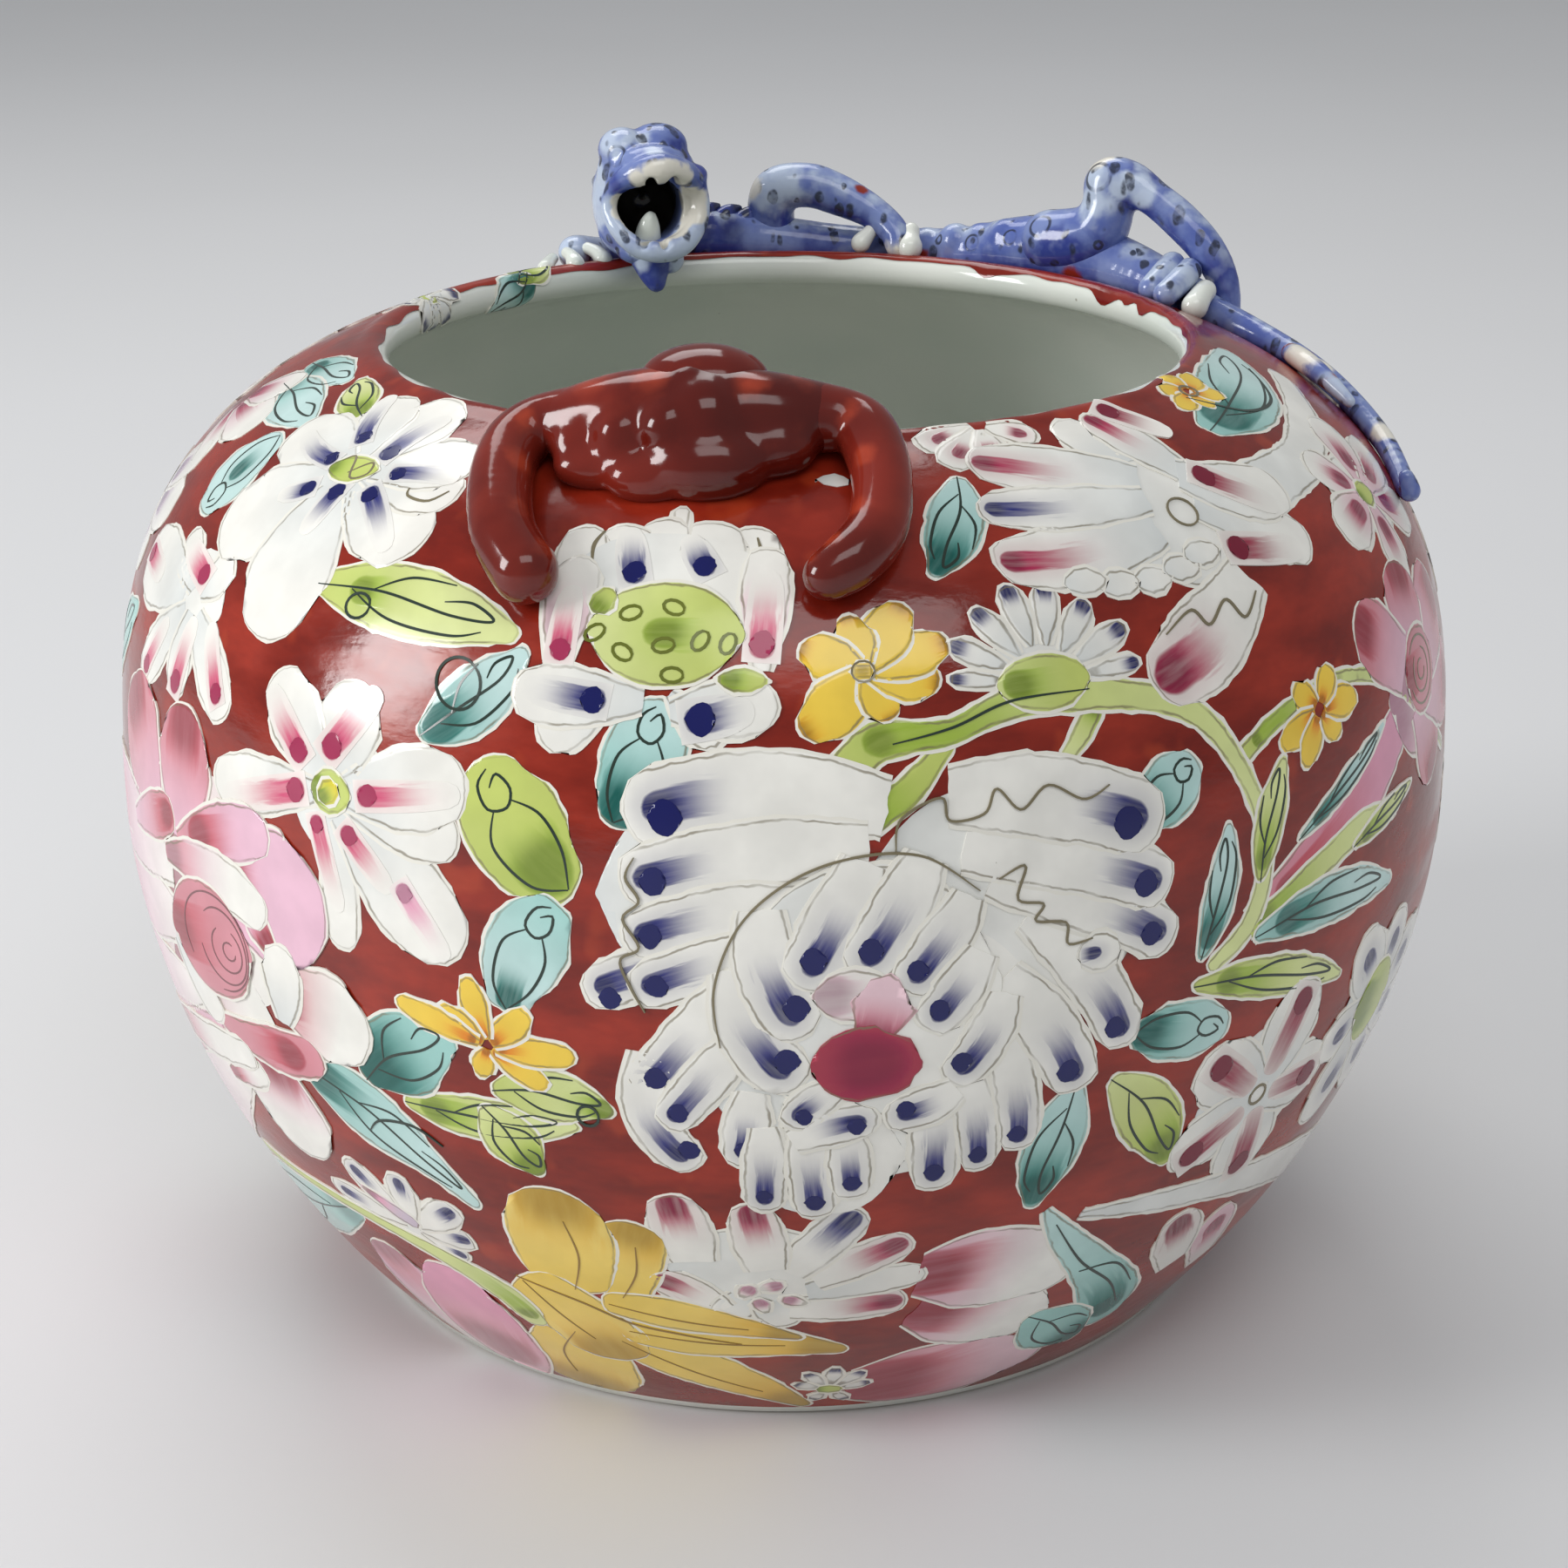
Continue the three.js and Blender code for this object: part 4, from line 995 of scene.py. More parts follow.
for place, turn in [((-1, -33.6), 20), ((0.8, -36.2), 160), ((-3.2, -34.6), 60), ((-2, -37), 110)]:
    right, up = 1.6 * math.cos(math.radians(turn)), 1.6 * math.sin(math.radians(turn))
    paint = Paint(WHITE, WHITE, PINK, 0.6, 0, 0.6)
    petal(mum, shifted(place, -right, -up), shifted(place, right, up), 1.4, paint, 2)
close_flower(mum, "chrysanthemum")

# The straw lily
# A lily in straw yellow with fine brown lines: two round petals over long ones that sweep down to the right.
STRAW, PALE_STRAW, DEEP_STRAW = look(240, 204, 84), look(244, 218, 124), look(230, 182, 62)
STRAW_PETAL = Paint(STRAW, PALE_STRAW, DEEP_STRAW, 0.9, 0.1, 0.8)
STRAW_INK = look(150, 118, 58)
ROUND, TAPER = (0.8, 0.96, 1.04, 0.96), (0.7, 1, 0.9, 0.62, 0.25)
lily = open_flower()
for root, tip, half, bend, widths in [
    ((-20.5, -46), (-25, -63.2), 6.6, 0, ROUND),
    ((-17, -46), (3, -62), 4.6, 1, TAPER),
    ((-15, -38), (-12, -24.6), 4, 0, ROUND),
    ((-19.6, -38), (-18.8, -21.2), 6, 0, ROUND),
    ((-16, -44), (6.4, -46.4), 4.6, 1.2, TAPER),
    ((-17, -38.8), (2, -43.6), 3.2, 0.8, TAPER),
    ((-24.6, -36.8), (-17.6, -52), 5.6, 1.6, ROUND),
]:
    blade = petal(lily, root, tip, half, STRAW_PETAL, 1, bend, widths, root_bow=0.6, open_root=False)
    wire(lily, [blade.place(0.06, 0.1), blade.place(0.4, 0.3), blade.place(0.72, 0.12)], 3, 0.11, STRAW_INK)
wire(lily, [(-25, -37), (-19, -39.6), (-14.6, -42.4), (-10, -43.6), (-4, -45)], 4, 0.13, STRAW_INK)
close_flower(lily, "straw_lily")

# The pink peony at the left
# A dusty rose heart drawn with a spiral, in a ring of petals that run from deep rose to white.
FADED_ROSE, LILAC_PINK = look(192, 66, 82), look(230, 186, 204)
DEEP_TO_WHITE = Paint(LILAC_PINK, WHITE, FADED_ROSE, 0.14, 0.7, 0.62)
DEEP_EDGED = Paint(LILAC_PINK, SOFT_ROSE, FADED_ROSE, 0.84, 0.3, 0.62)
WHITE_TO_PINK = Paint(WHITE, LILAC_PINK, SOFT_ROSE, 0.95, 0.2, 0.6)
ALL_ROSE = Paint(SOFT_ROSE, SOFT_ROSE, FADED_ROSE, 0.2, 0.9, 0.5)
PEONY_STEP = 0.25  # how many layers each petal lies above the last
pink_peony = open_flower()
for place, wide, high in [((-64, -8), 20, 18), ((-52, 2), 16, 13), ((-53, -12), 12, 10)]:
    disc(pink_peony, place, wide, high, Paint(LILAC_PINK, WHITE, SOFT_ROSE, 0.2, 0.8, 0.9), 0,
         halo=NO_OUTLINE)
layer = 1
for root, tip, half, paint, bend in [
    ((-54, -20), (-80, -38), 8.6, WHITE_TO_PINK, 0),
    ((-54, -15), (-82, -27), 4.2, DEEP_EDGED, 1),
    ((-57, -12), (-78, -18), 5, WHITE_TO_PINK, 0),
    ((-57, -4), (-80, -9), 6, WHITE_TO_PINK, -1),
    ((-58, 2), (-82, 3), 5.6, WHITE_TO_PINK, 0),
    ((-61, 6), (-69, 19), 7.4, DEEP_EDGED, 0),
    ((-55.6, 6), (-55.4, 20.8), 6.4, DEEP_EDGED, 0),
    ((-68, 3.4), (-57, 8.4), 3, DEEP_EDGED, 0),
    ((-46.6, -14), (-46.4, -28.6), 7.2, DEEP_TO_WHITE, 0),
    ((-56, -22), (-48, -17.6), 2.4, DEEP_TO_WHITE, 0),
    ((-43.6, -5.6), (-33.2, -8.4), 5.8, Paint(SOFT_ROSE, WHITE, FADED_ROSE, 0.14, 0.6, 0.5), 0.8),
    ((-50.6, 5), (-36.4, 4.6), 8, Paint(LILAC_PINK, LILAC_PINK, FADED_ROSE, 0.2, 0.6, 0.4), 0),
    ((-56.4, 5.6), (-42.6, 11.6), 3.4, Paint(SOFT_ROSE, LILAC_PINK, FADED_ROSE, 0.3, 0.9, 0.7), 0.8),
    ((-42.4, -1.6), (-46.4, 3.6), 2.2, Paint(SOFT_ROSE, LILAC_PINK, FADED_ROSE, 0.3, 0.9, 0.7), 0),
    ((-53, -13.6), (-38.8, -11.6), 3.2, Paint(SOFT_ROSE, SOFT_ROSE, FADED_ROSE, 0.7, 0.1, 0.7), -0.8),
    ((-42.8, -9), (-42.2, 0.4), 3.4, PLAIN_WHITE, -0.4),
    ((-59, -6), (-53, -14), 3.4, PLAIN_WHITE, 0),
    ((-78, -24), (-49, -16.2), 2.6, Paint(LILAC_PINK, WHITE, SOFT_ROSE, 0.4, 0.8, 0.8), 0),
    ((-59, 3.4), (-43.2, 2.4), 3.2, Paint(LILAC_PINK, WHITE, SOFT_ROSE, 0.1, 0.7, 0.8), 1.6),
]:
    layer += PEONY_STEP
    petal(pink_peony, root, tip, half, paint, layer, bend)
disc(pink_peony, (-52.4, -3.6), 9, 6.8, ALL_ROSE, 7, turn=8)
for wide, high, centre in [(1.2, 1, (-48.9, -3.4)), (2.9, 2.5, (-49.3, -3.4)), (4.6, 4.2, (-50, -3.3)),
                           (6.6, 5.4, (-51.2, -3.3))]:
    wire(pink_peony, ring_places(centre, wide, high, 10, wide * 40, 300, 16), 8, 0.1, look(130, 84, 88))
close_flower(pink_peony, "pink_peony")

# The small flowers and leaves at the lower left
# A yellow flower over two teal leaves and a lime one, a little white daisy, a stem and a fat pink bud.
low_left = open_flower()
leaf(low_left, (-43, -35), (-74, -50), 5.6, Paint(look(176, 200, 194), PALE_AQUA, AQUA, 0.1, 0.5, 0.6), 0)
bloom(low_left, (-22.4, -4.6), [
    (-30.4, -1.4, 1.7), (-26.4, -1, 1.7), (-24, 2.8, 1.8), (-18.8, 0, 1.9), (-15.2, -4.4, 1.9),
    (-17.6, -8.4, 1.8), (-23.4, -8.6, 1.6),
], ORANGE_FROM_HEART, 3, 0.08, SHORT)
leaf(low_left, (-22.6, -9.6), (-12.6, -10.4), 3.4, Paint(LIME, PALE_LIME, DEEP_LIME, 0.9, 0.4, 0.4), 1, 0.8)
leaf(low_left, (-31, -13.6), (-15.4, -12.4), 3, LIME_BELOW, 0, -0.6)
leaf(low_left, (-23.6, -11.6), (-19.2, -19.8), 3.6, LIME_ABOVE, 1)
wire(low_left, ring_places((-14.8, -11), 1.1, 1.2, steps=9), 4, 0.15, LEAF_INK)
leaf(low_left, (-34.6, -12.4), (-25, -4.6), 5, Paint(TEAL, AQUA, TEAL, 0.2, 0.9, 0.8), 1, 0.8)
leaf(low_left, (-41.4, -13.4), (-26, -26.6), 4.6, Paint(AQUA, PALE_AQUA, TEAL, 0.1, 0.6, 0.6), 1, 1.6,
     widths=(0.6, 1, 0.9, 0.5, 0.25))
wire(low_left, [(-35.6, -19.4), (-34, -17.4), (-30.6, -16.8), (-28, -18.6)], 4, 0.15, LEAF_INK)
disc(low_left, (-35, -32), 6.4, 4.6, PLAIN_WHITE, 0)
bloom(low_left, (-35, -33.6), [
    (-40.8, -25.6, 2.4), (-34.4, -24.8, 2.3), (-28.6, -27.6, 2.5), (-28, -32.6, 2.2), (-29.4, -36.4, 1.8),
    (-45, -31.6, 2.1),
], Paint(WHITE, WHITE, NAVY, 0.78, 0.3, 0.36), 1, 0.1)
petal(low_left, (-40, -29.4), (-34, -33.2), 1.5, Paint(PALE_PINK, look(206, 190, 204), PINK, 0.2, 0.8, 0.5),
      2)
lay(low_left, [(-60, -35, 1), (-48, -34.4, 1), (-38, -35.6, 1.3), (-31, -38.4, 2), (-27, -42, 2.6),
               (-25, -47, 2)], Paint(LIME, PALE_LIME, DEEP_LIME, 0.9, 0.4, 0.6), 3)
petal(low_left, (-38, -63.4), (-43, -40), 6, WHITE_TO_PINK, 1, 0, BUD)
petal(low_left, (-35, -63.4), (-33.6, -39), 7, Paint(PALE_PINK, PINK, SOFT_ROSE, 0.3, 0.9, 0.8), 2, 0, BUD)
close_flower(low_left, "small_flowers_lower_left")

# The flowers at the right
# A magenta flower with a bar on each petal, a blue and white daisy going round the side, teal and lime leaves
# between them, and two pink sheaths.
right = open_flower()
lay(right, [(37.6, 3.6, 2.4), (45, 8.4, 3.6), (54, 14.2, 3.8), (62, 20.4, 2.2)],
    Paint(SOFT_ROSE, PINK, FADED_ROSE, 0.2, 0.9, 0.5), 0)
bud(right, (32.6, 22.6), (26.6, 17), 3.6, TEAL_ABOVE, 1)
leaf(right, (32.6, 1.6), (35.2, 15.6), 2.4, TEAL_BELOW, 1, -0.8)
leaf(right, (38, 2.4), (57.6, 1), 3, TEAL_BELOW, 1, 1.4)
leaf(right, (32, -0.8), (50.4, -6.6), 2.6, LIME_BELOW, 1, 0.8)
bud(right, (36.4, -6.6), (26.6, -4.4), 3.6, TEAL_ABOVE, 1)
leaf(right, (42.6, 11), (56, 19), 1.5, TEAL_BELOW, 1)
bloom(right, (46.4, 23.4), [
    (41, 21, 1.9), (43.6, 18, 1.9), (48.8, 19.6, 1.9), (52, 23, 2), (49, 27.4, 1.9), (43.4, 26.4, 1.9),
], ORANGE_FROM_HEART, 1, 0.1, SHORT)
leaf(right, (22.6, -8.6), (20.4, -24.6), 3.7, TEAL_ABOVE, 1, -0.4)
leaf(right, (25.4, -9), (33.2, -23), 3.8, LIME_ABOVE, 1, 1)
disc(right, (42, -17.2), 9, 8.6, PLAIN_WHITE, 0, halo=NO_OUTLINE)
bloom(right, (42, -17.4), [
    (45.8, -4.8, 4.9), (34.2, -10, 4.6), (51.4, -17.8, 4.6), (33.4, -23.6, 4.4), (43.8, -30.4, 4.9),
], PLAIN_WHITE, 1, 0.1, LONG)
for head, tail in [((45, -7.4), (42.6, -15.4)), ((36.4, -11.8), (41, -16.4)), ((48.8, -18.2), (43.6, -17.8)),
                   ((35.8, -22.8), (40.8, -19)), ((43.4, -27.8), (42.4, -19.6))]:
    dab(right, head, tail, 1.6, DEEP_ROSE, 2, 0, 1.8)
wire(right, ring_places((42, -17.6), 1.2, 1.2, steps=9), 3)
disc(right, (59, -14.5), 9, 9, PLAIN_WHITE, 0, halo=NO_OUTLINE)
bloom(right, (58.6, -14), [
    (53.4, -3.6, 4.2), (50, -16.6, 3.6), (53.8, -28.2, 4.6), (62, -4, 4.2), (69.4, -10, 4.2), (69, -20, 4.2),
    (63, -27.6, 4.2),
], Paint(SHADED_WHITE, WHITE, NAVY, 0.6, 0.2, 0.34), 1, 0.1, LONG)
disc(right, (58.8, -14), 4.8, 5.4, Paint(LIME, LIME, DEEP_LIME, 0.3, 0.9, 0.7), 3)
lay(right, [(25.6, -27.2, 0.9), (33, -28.6, 1.7), (42, -30.6, 2.2), (56, -35, 3.4), (70, -42, 4.4),
            (82, -50, 3.4)], PLAIN_WHITE, 0)
petal(right, (42.4, -44), (37.8, -32.8), 3.6, Paint(WHITE, WHITE, DEEP_ROSE, 0.78, 0.1, 0.55), 1, 0, LONG)
petal(right, (50, -48), (44.6, -36), 3.6, Paint(WHITE, PALE_PINK, ROSE, 0.7, 0.1, 0.5), 1, 0, LONG)
leaf(right, (50, 7.6), (61, 10.6), 1.6, LIME_BELOW, 1)
close_flower(right, "flowers_right")

# The pink lotus bud at the lower right
# Two fat petals over a broad lower one, deep rose at their left, with one long teal leaf across them.
lotus_bud = open_flower()
petal(lotus_bud, (7, -56), (30, -54), 8, Paint(SOFT_ROSE, PALE_PINK, FADED_ROSE, 0.2, 1, 0.8), 0, 0, BUD)
petal(lotus_bud, (12, -39), (26, -47), 6.4, Paint(LILAC_PINK, WHITE, FADED_ROSE, 0.12, 0.8, 0.7), 1, 1, BUD)
petal(lotus_bud, (11.6, -33), (27, -38), 6.8, Paint(LILAC_PINK, WHITE, FADED_ROSE, 0.1, 0.7, 0.6), 1, 1.6,
      BUD)
lay(lotus_bud, [(22, -25.4, 0.8), (24.4, -30, 1.9), (28.4, -36, 2.7), (32.2, -41.6, 3.6), (35, -47, 4.2),
                (36.4, -52.6, 3.2)], Paint(PALE_AQUA, AQUA, TEAL, 0.85, 0.3, 0.6), 2)
leaf(lotus_bud, (24.6, -44.6), (34.4, -55), 4.6, Paint(AQUA, AQUA, TEAL, 0.9, 0.3, 0.7), 3)
for line in [
    [(23.4, -28), (27.6, -35.6), (33, -42), (36.6, -48)], [(28, -37.6), (32.4, -38.2), (36.4, -43.6)],
]:
    wire(lotus_bud, line, 4, 0.15, LEAF_INK)
bloom(lotus_bud, (5, -56.6), [
    (0.8, -54.6, 1.3), (2.2, -51.6, 1.3), (5.4, -50.4, 1.4), (8.6, -51.6, 1.4), (9.8, -55, 1.3),
    (3, -60, 1.3), (7.4, -60.4, 1.3),
], NAVY_AT_TIP, 3, 0.2)
disc(lotus_bud, (5, -56.4), 1.7, 1.5, LIME_HEART, 4)
close_flower(lotus_bud, "pink_lotus_bud")

# The flowers going round the right shoulder
# A white and pink flower by the dragon's tail, and a dusty pink peony at the belly behind the vine.
shoulder = open_flower()
disc(shoulder, (69, 40), 6, 5.6, PLAIN_WHITE, 0)
bloom(shoulder, (69, 40), [
    (76.5, 49, 4), (59, 38, 3.6), (62.5, 47, 3.4), (67, 29.4, 3.6), (78.5, 34, 3.8), (82, 42, 3.6),
], Paint(PALE_PINK, WHITE, ROSE, 0.3, 0.95, 0.4))
disc(shoulder, (69, 40), 2.2, 2, LIME_HEART, 3)
disc(shoulder, (64, 20), 9, 8, Paint(PALE_PINK, WHITE, PINK, 0.2, 0.8, 0.9), 0)
bloom(shoulder, (63, 21), [
    (54, 30, 4.6), (66, 33, 5.2), (76, 27, 5.4), (77, 15, 5.2), (68, 8, 4.8),
], DEEP_EDGED, 1, 0.2, ROUND)
disc(shoulder, (65, 21), 5.4, 5, ALL_ROSE, 2)
for wide in (1.2, 2.6, 4):
    wire(shoulder, ring_places((65, 21), wide, wide * 0.9, 0, wide * 50, 300), 3, 0.12)
close_flower(shoulder, "flowers_right_shoulder")

# The flowers round the back
# The same painter's flowers carry on round the washer, set close in staggered rows, with leaves and small
# blooms in the gaps.
YELLOW_HEART = Paint(YELLOW, YELLOW, ORANGE, 0.5, 0.9, 0.5)
FLOWER_KINDS = {  # rings of (petals, share of the reach, paint, widths), then the heart's share and paint
    "aster": ([(7, 1, NAVY_FROM_HEART, PETAL)], 0.3, LIME_HEART),
    "cosmos": ([(8, 1, ROSE_FROM_HEART, PETAL)], 0.24, YELLOW_HEART),
    "rose": ([(9, 1, DEEP_EDGED, ROUND), (6, 0.66, DEEP_TO_WHITE, ROUND)], 0.32, ALL_ROSE),
    "peony": ([(13, 1, NAVY_BAR, FINGER), (9, 0.68, NAVY_BAR, FINGER)], 0.34, DUSTY_HEART),
    "mum": ([(11, 1, ROSE_BAR, BAR), (7, 0.6, NAVY_BAR, BAR)], 0.22, PLAIN_WHITE),
    "primrose": ([(6, 1, ORANGE_FROM_HEART, SHORT)], 0.24, YELLOW_HEART),
    "lily": ([(6, 1, STRAW_PETAL, ROUND)], 0.22, LIME_HEART),
    "hibiscus": ([(8, 1, ROSE_AT_TIP, LONG), (5, 0.5, FAR_NAVY, LONG)], 0.2, YELLOW_HEART),
    "daisy": ([(9, 1, NAVY_AT_TIP, PETAL)], 0.36, LIME_HEART),
}
BACK_SECTOR = 23.6  # the degrees between the flowers of a row, and the width of a piece
BACK_FIRST = 100  # the azimuth of the first piece
BACK_SPLIT = -8  # the length along the wall that parts the lower pieces from the upper ones
BACK_ROWS = [  # each row's length along the wall, its first azimuth, and its flowers' reach and kinds
    (-46, 97, 12.4, ["mum", "lily", "rose", "aster", "primrose", "cosmos", "peony", "daisy"]),
    (-21, 109, 14.2, ["peony", "cosmos", "hibiscus", "mum", "rose", "lily", "aster"]),
    (4, 97, 14.4, ["rose", "aster", "peony", "cosmos", "lily", "mum", "hibiscus", "peony"]),
    (29, 109, 13.4, ["lily", "primrose", "aster", "rose", "daisy", "cosmos", "primrose"]),
    (51, 225, 9, ["aster", "rose"]),
]
FILLER_REACH, GAP_ABOVE, GAP_BELOW = 5.2, 3.4, 2.6
FILLERS = ["daisy", "leaves", "primrose", "leaves", "aster", "leaves", "cosmos"]
SIDE_BLOOMS = [  # kind, azimuth, length along the wall and reach of the flowers where back and front meet
    ("daisy", 84, -25, 13.5), ("cosmos", 81.8, 1, 6.8), ("aster", 90, 26, 8.5), ("primrose", 87, 13, 5),
    ("cosmos", 99, 42, 5.5), ("rose", 268.5, -21.5, 12), ("daisy", 276.2, 4, 5), ("primrose", 266.5, 30, 8),
    ("cosmos", 262, 45, 6.5), ("daisy", 279, -51, 6),
]


def strewn(shape, kind, heart, reach, turn, layer=1):
    """A whole flower, its petals evenly round the heart and each a little off, as a hand sets them."""
    rings, heart_share, heart_paint = FLOWER_KINDS[kind]
    disc(shape, heart, 0.6 * reach, 0.6 * reach, PLAIN_WHITE, layer - 1, halo=NO_OUTLINE)
    for count, share, paint, widths in rings:
        for i in range(count):
            stray = noise.noise(Vector((0.31 * heart[0], 0.47 * heart[1], 7.3 * i + share)))
            angle = math.radians(turn + (i + 0.4 * stray) * 360 / count)
            length = share * reach * (1 + 0.25 * stray)
            away = Vector((math.cos(angle), math.sin(angle))) * length
            root, tip = shifted(heart, *(0.16 * away)), shifted(heart, *away)
            petal(shape, root, tip, 0.96 * length * math.sin(math.pi / count), paint, layer, 0.8 * stray,
                  widths)
        layer += 1
    disc(shape, heart, heart_share * reach, 0.8 * heart_share * reach, heart_paint, layer, turn)


def leaf_pair(shape, place, turn, paint, other):
    for lean, colour in ((-26, paint), (150, other)):
        angle = math.radians(turn + lean)
        run = 7 * math.cos(angle), 7 * math.sin(angle)
        leaf(shape, shifted(place, -run[0] / 5, -run[1] / 5), shifted(place, *run), 3.2, colour, 0, 0.8)


back_pieces = {}


def back_piece(azimuth, arc):
    """The mesh that a flower round the back goes into, by its sector and its half of the wall."""
    key = "lower" if arc < BACK_SPLIT else "upper", round((azimuth - BACK_FIRST) / BACK_SECTOR)
    if key not in back_pieces:
        back_pieces[key] = open_flower()
    return back_pieces[key]


for row, (arc, first, reach, kinds) in enumerate(BACK_ROWS):
    for k, kind in enumerate(kinds):
        sway = noise.noise(Vector((3.7 * row, 5.1 * k, 0.4)))
        rise = noise.noise(Vector((2.3 * k, 4.9 * row, 1.7)))
        heart = first + BACK_SECTOR * k + 2.4 * sway, arc + 3 * rise
        shape = back_piece(*heart)
        filler = FILLERS[(3 * row + 2 * k) % len(FILLERS)]
        gap_place = shifted(heart, 0, reach + GAP_ABOVE)
        if filler == "leaves":
            leaf_pair(shape, gap_place, 40 + 90 * sway, TEAL_BELOW, LIME_BELOW)
        else:
            strewn(shape, filler, gap_place, FILLER_REACH, 30 * row)
        below = shifted(heart, 0, -reach - GAP_BELOW)
        leaf_pair(shape, below, 160 * sway, (LIME_BELOW, TEAL_BELOW)[k % 2], TEAL_BELOW)
        strewn(shape, kind, heart, reach * (1 + 0.08 * sway), 17 * k + 40 * row, 2)
for kind, azimuth, arc, reach in SIDE_BLOOMS:
    strewn(back_piece(azimuth, arc), kind, (azimuth, arc), reach, 31 * reach, 3)
for (part, sector), shape in back_pieces.items():
    close_flower(shape, "flowers_behind_{}_{}".format(part, sector + 1))

# The dragon's trunk and tail
# Hand-rolled coils of porcelain clay, laid on the shoulder behind the lip and luted down with slip. They
# carry a blue enamel that runs off the high places and pools in the low ones, with brush dots over it. Their
# pale tops and deep feet are also painted highlight and painted shade.
THIN_BLUE, BLUE = look(124, 140, 190), look(84, 101, 168)
DEEP_BLUE, PALE_BLUE = look(52, 65, 142), look(184, 197, 218)
CLAY_WHITE_AND_HIGHLIGHT, DRIPPED_RED = look(224, 220, 208), look(138, 44, 32)
DOT_INK = look(44, 48, 60)
TRUNK = [(199, 49.6, 3.2, 3), (191, 49.6, 2.5, 3.3), (182, 50.6, 1.8, 3.4), (172, 51.4, 1.3, 3),
         (162, 51.2, 1.2, 3), (153, 50.4, 1.5, 3.2), (145, 50, 2.7, 3.8), (137.5, 50.4, 3.3, 4.2),
         (128, 52, 2.6, 3.7), (118, 54.4, 1.7, 2.7)]
TAIL = [(120, 54, 1.5, 2.6), (116, 55.4, 1.1, 2.2), (109.5, 58, 1.1, 1.8), (103.5, 60.2, 1.3, 1.6),
        (98, 62.3, 1.4, 1.5), (93.4, 64.6, 1.4, 1.4), (88.5, 66.5, 1.5, 1.3), (84, 67.6, 1.4, 1.2),
        (80.6, 68.5, 1.3, 1.2), (78.4, 69, 2.5, 1.1), (78.2, 68.4, 3.1, 0.9)]
TAIL_LOCK = [(103, 59.6, 1.2, 0.9), (100.5, 59, 1.3, 1.2), (96.5, 59.2, 1.4, 1.3), (92.6, 60.6, 1.5, 1.1),
             (89.4, 62.8, 1.5, 0.7)]
SPINE_KNOBS = [(193, 50.2, 5.2, 1.1), (189.4, 50.4, 5, 1.1), (186, 50.6, 4.6, 1.1), (159.4, 50.6, 2, 2.3),
               (154.6, 49.6, 2.5, 2.4), (150.6, 49.8, 2.7, 2.6), (146.2, 49, 3.5, 2.5), (143, 49.6, 3.9, 2.6)]
ZONE_NAMES = ("pale", "deep", "bare_and_highlight", "red", "dark", "ring")
NO_RING = 9.0
ZONE_FADE = 1.6  # how many of its reaches away a zone has faded out


def dragon_finish():
    """Blue enamel. Mesh points hold how strong each other colour is there, and how near a drawn ring runs."""
    material, tree, shader, where = new_finish("dragon_blue_enamel", 0.13)
    zone = {name: held(tree, name) for name in ZONE_NAMES}
    tone = mixed(tree, ramp(tree, mottle(tree, where, 190, 4), 0.32, 0.68), BLUE, THIN_BLUE)
    wander = ramp(tree, mottle(tree, where, 300, 3), 0.28, 0.72, -0.4, 0.4)
    # Deep blue where the enamel pooled and as painted shade, pale blue where it ran thin and as painted
    # highlight.
    for name, colour in (("deep", DEEP_BLUE), ("pale", PALE_BLUE)):
        tone = mixed(tree, ramp(tree, plus(tree, zone[name], wander), 0.1, 1), tone, colour)
    stray = add_node(tree, "TexNoise", {"Vector": where, "Scale": 300})[1]
    bent = add_node(tree, "VectorMath", {0: stray, 1: (0.0016, 0.0016, 0.0016)}, operation="MULTIPLY")[0]
    spot_place = add_node(tree, "VectorMath", {0: where, 1: bent}, operation="ADD")[0]
    spot_place = add_node(tree, "Mapping", {"Vector": spot_place, "Scale": (1.25, 1.1, 0.72)})[0]
    cells = add_node(tree, "TexVoronoi", {"Vector": spot_place, "Scale": 400, "Randomness": 0.85})
    kind = add_node(tree, "SeparateXYZ", {0: cells[1]})[0]
    size = ramp(tree, kind, 0.1, 0.9, 0.22, 0.4)
    dot = ramp(tree, sums(tree, "SUBTRACT", size, cells[0]), 0, 0.1)
    dry = ramp(tree, mottle(tree, where, 1100, 2), 0.3, 0.6, 0.4, 0.9)
    tone = mixed(tree, times(tree, dot, dry), tone, DOT_INK)
    ragged = ramp(tree, mottle(tree, where, 620, 3), 0.25, 0.75, -0.2, 0.2)
    # White where the clay is bare, as on the lips and claws, and as painted highlight on high places of the
    # legs and tail.
    for name, colour in (("bare_and_highlight", CLAY_WHITE_AND_HIGHLIGHT), ("red", DRIPPED_RED)):
        tone = mixed(tree, ramp(tree, plus(tree, zone[name], ragged), 0.25, 0.85), tone, colour)
    drawn = times(tree, ramp(tree, zone["ring"], 0.74, 0.84), ramp(tree, zone["ring"], 0.98, 1.12, 1, 0))
    broken = ramp(tree, mottle(tree, where, 330, 2), 0.34, 0.5, 0.15, 0.85)
    tone = mixed(tree, times(tree, drawn, broken), tone, DOT_INK)
    # Near-black: painted shade inside the open mouth, and dark marks on the neck and at the tips of the mane
    # locks.
    tone = mixed(tree, zone["dark"], tone, look(22, 19, 14))
    height = plus(tree, mottle(tree, where, 240), times(tree, mottle(tree, where, 900, 1), 0.2))
    show(tree, shader, tone, height, 0.25, 0.0004)
    return material


DRAGON_ENAMEL = dragon_finish()


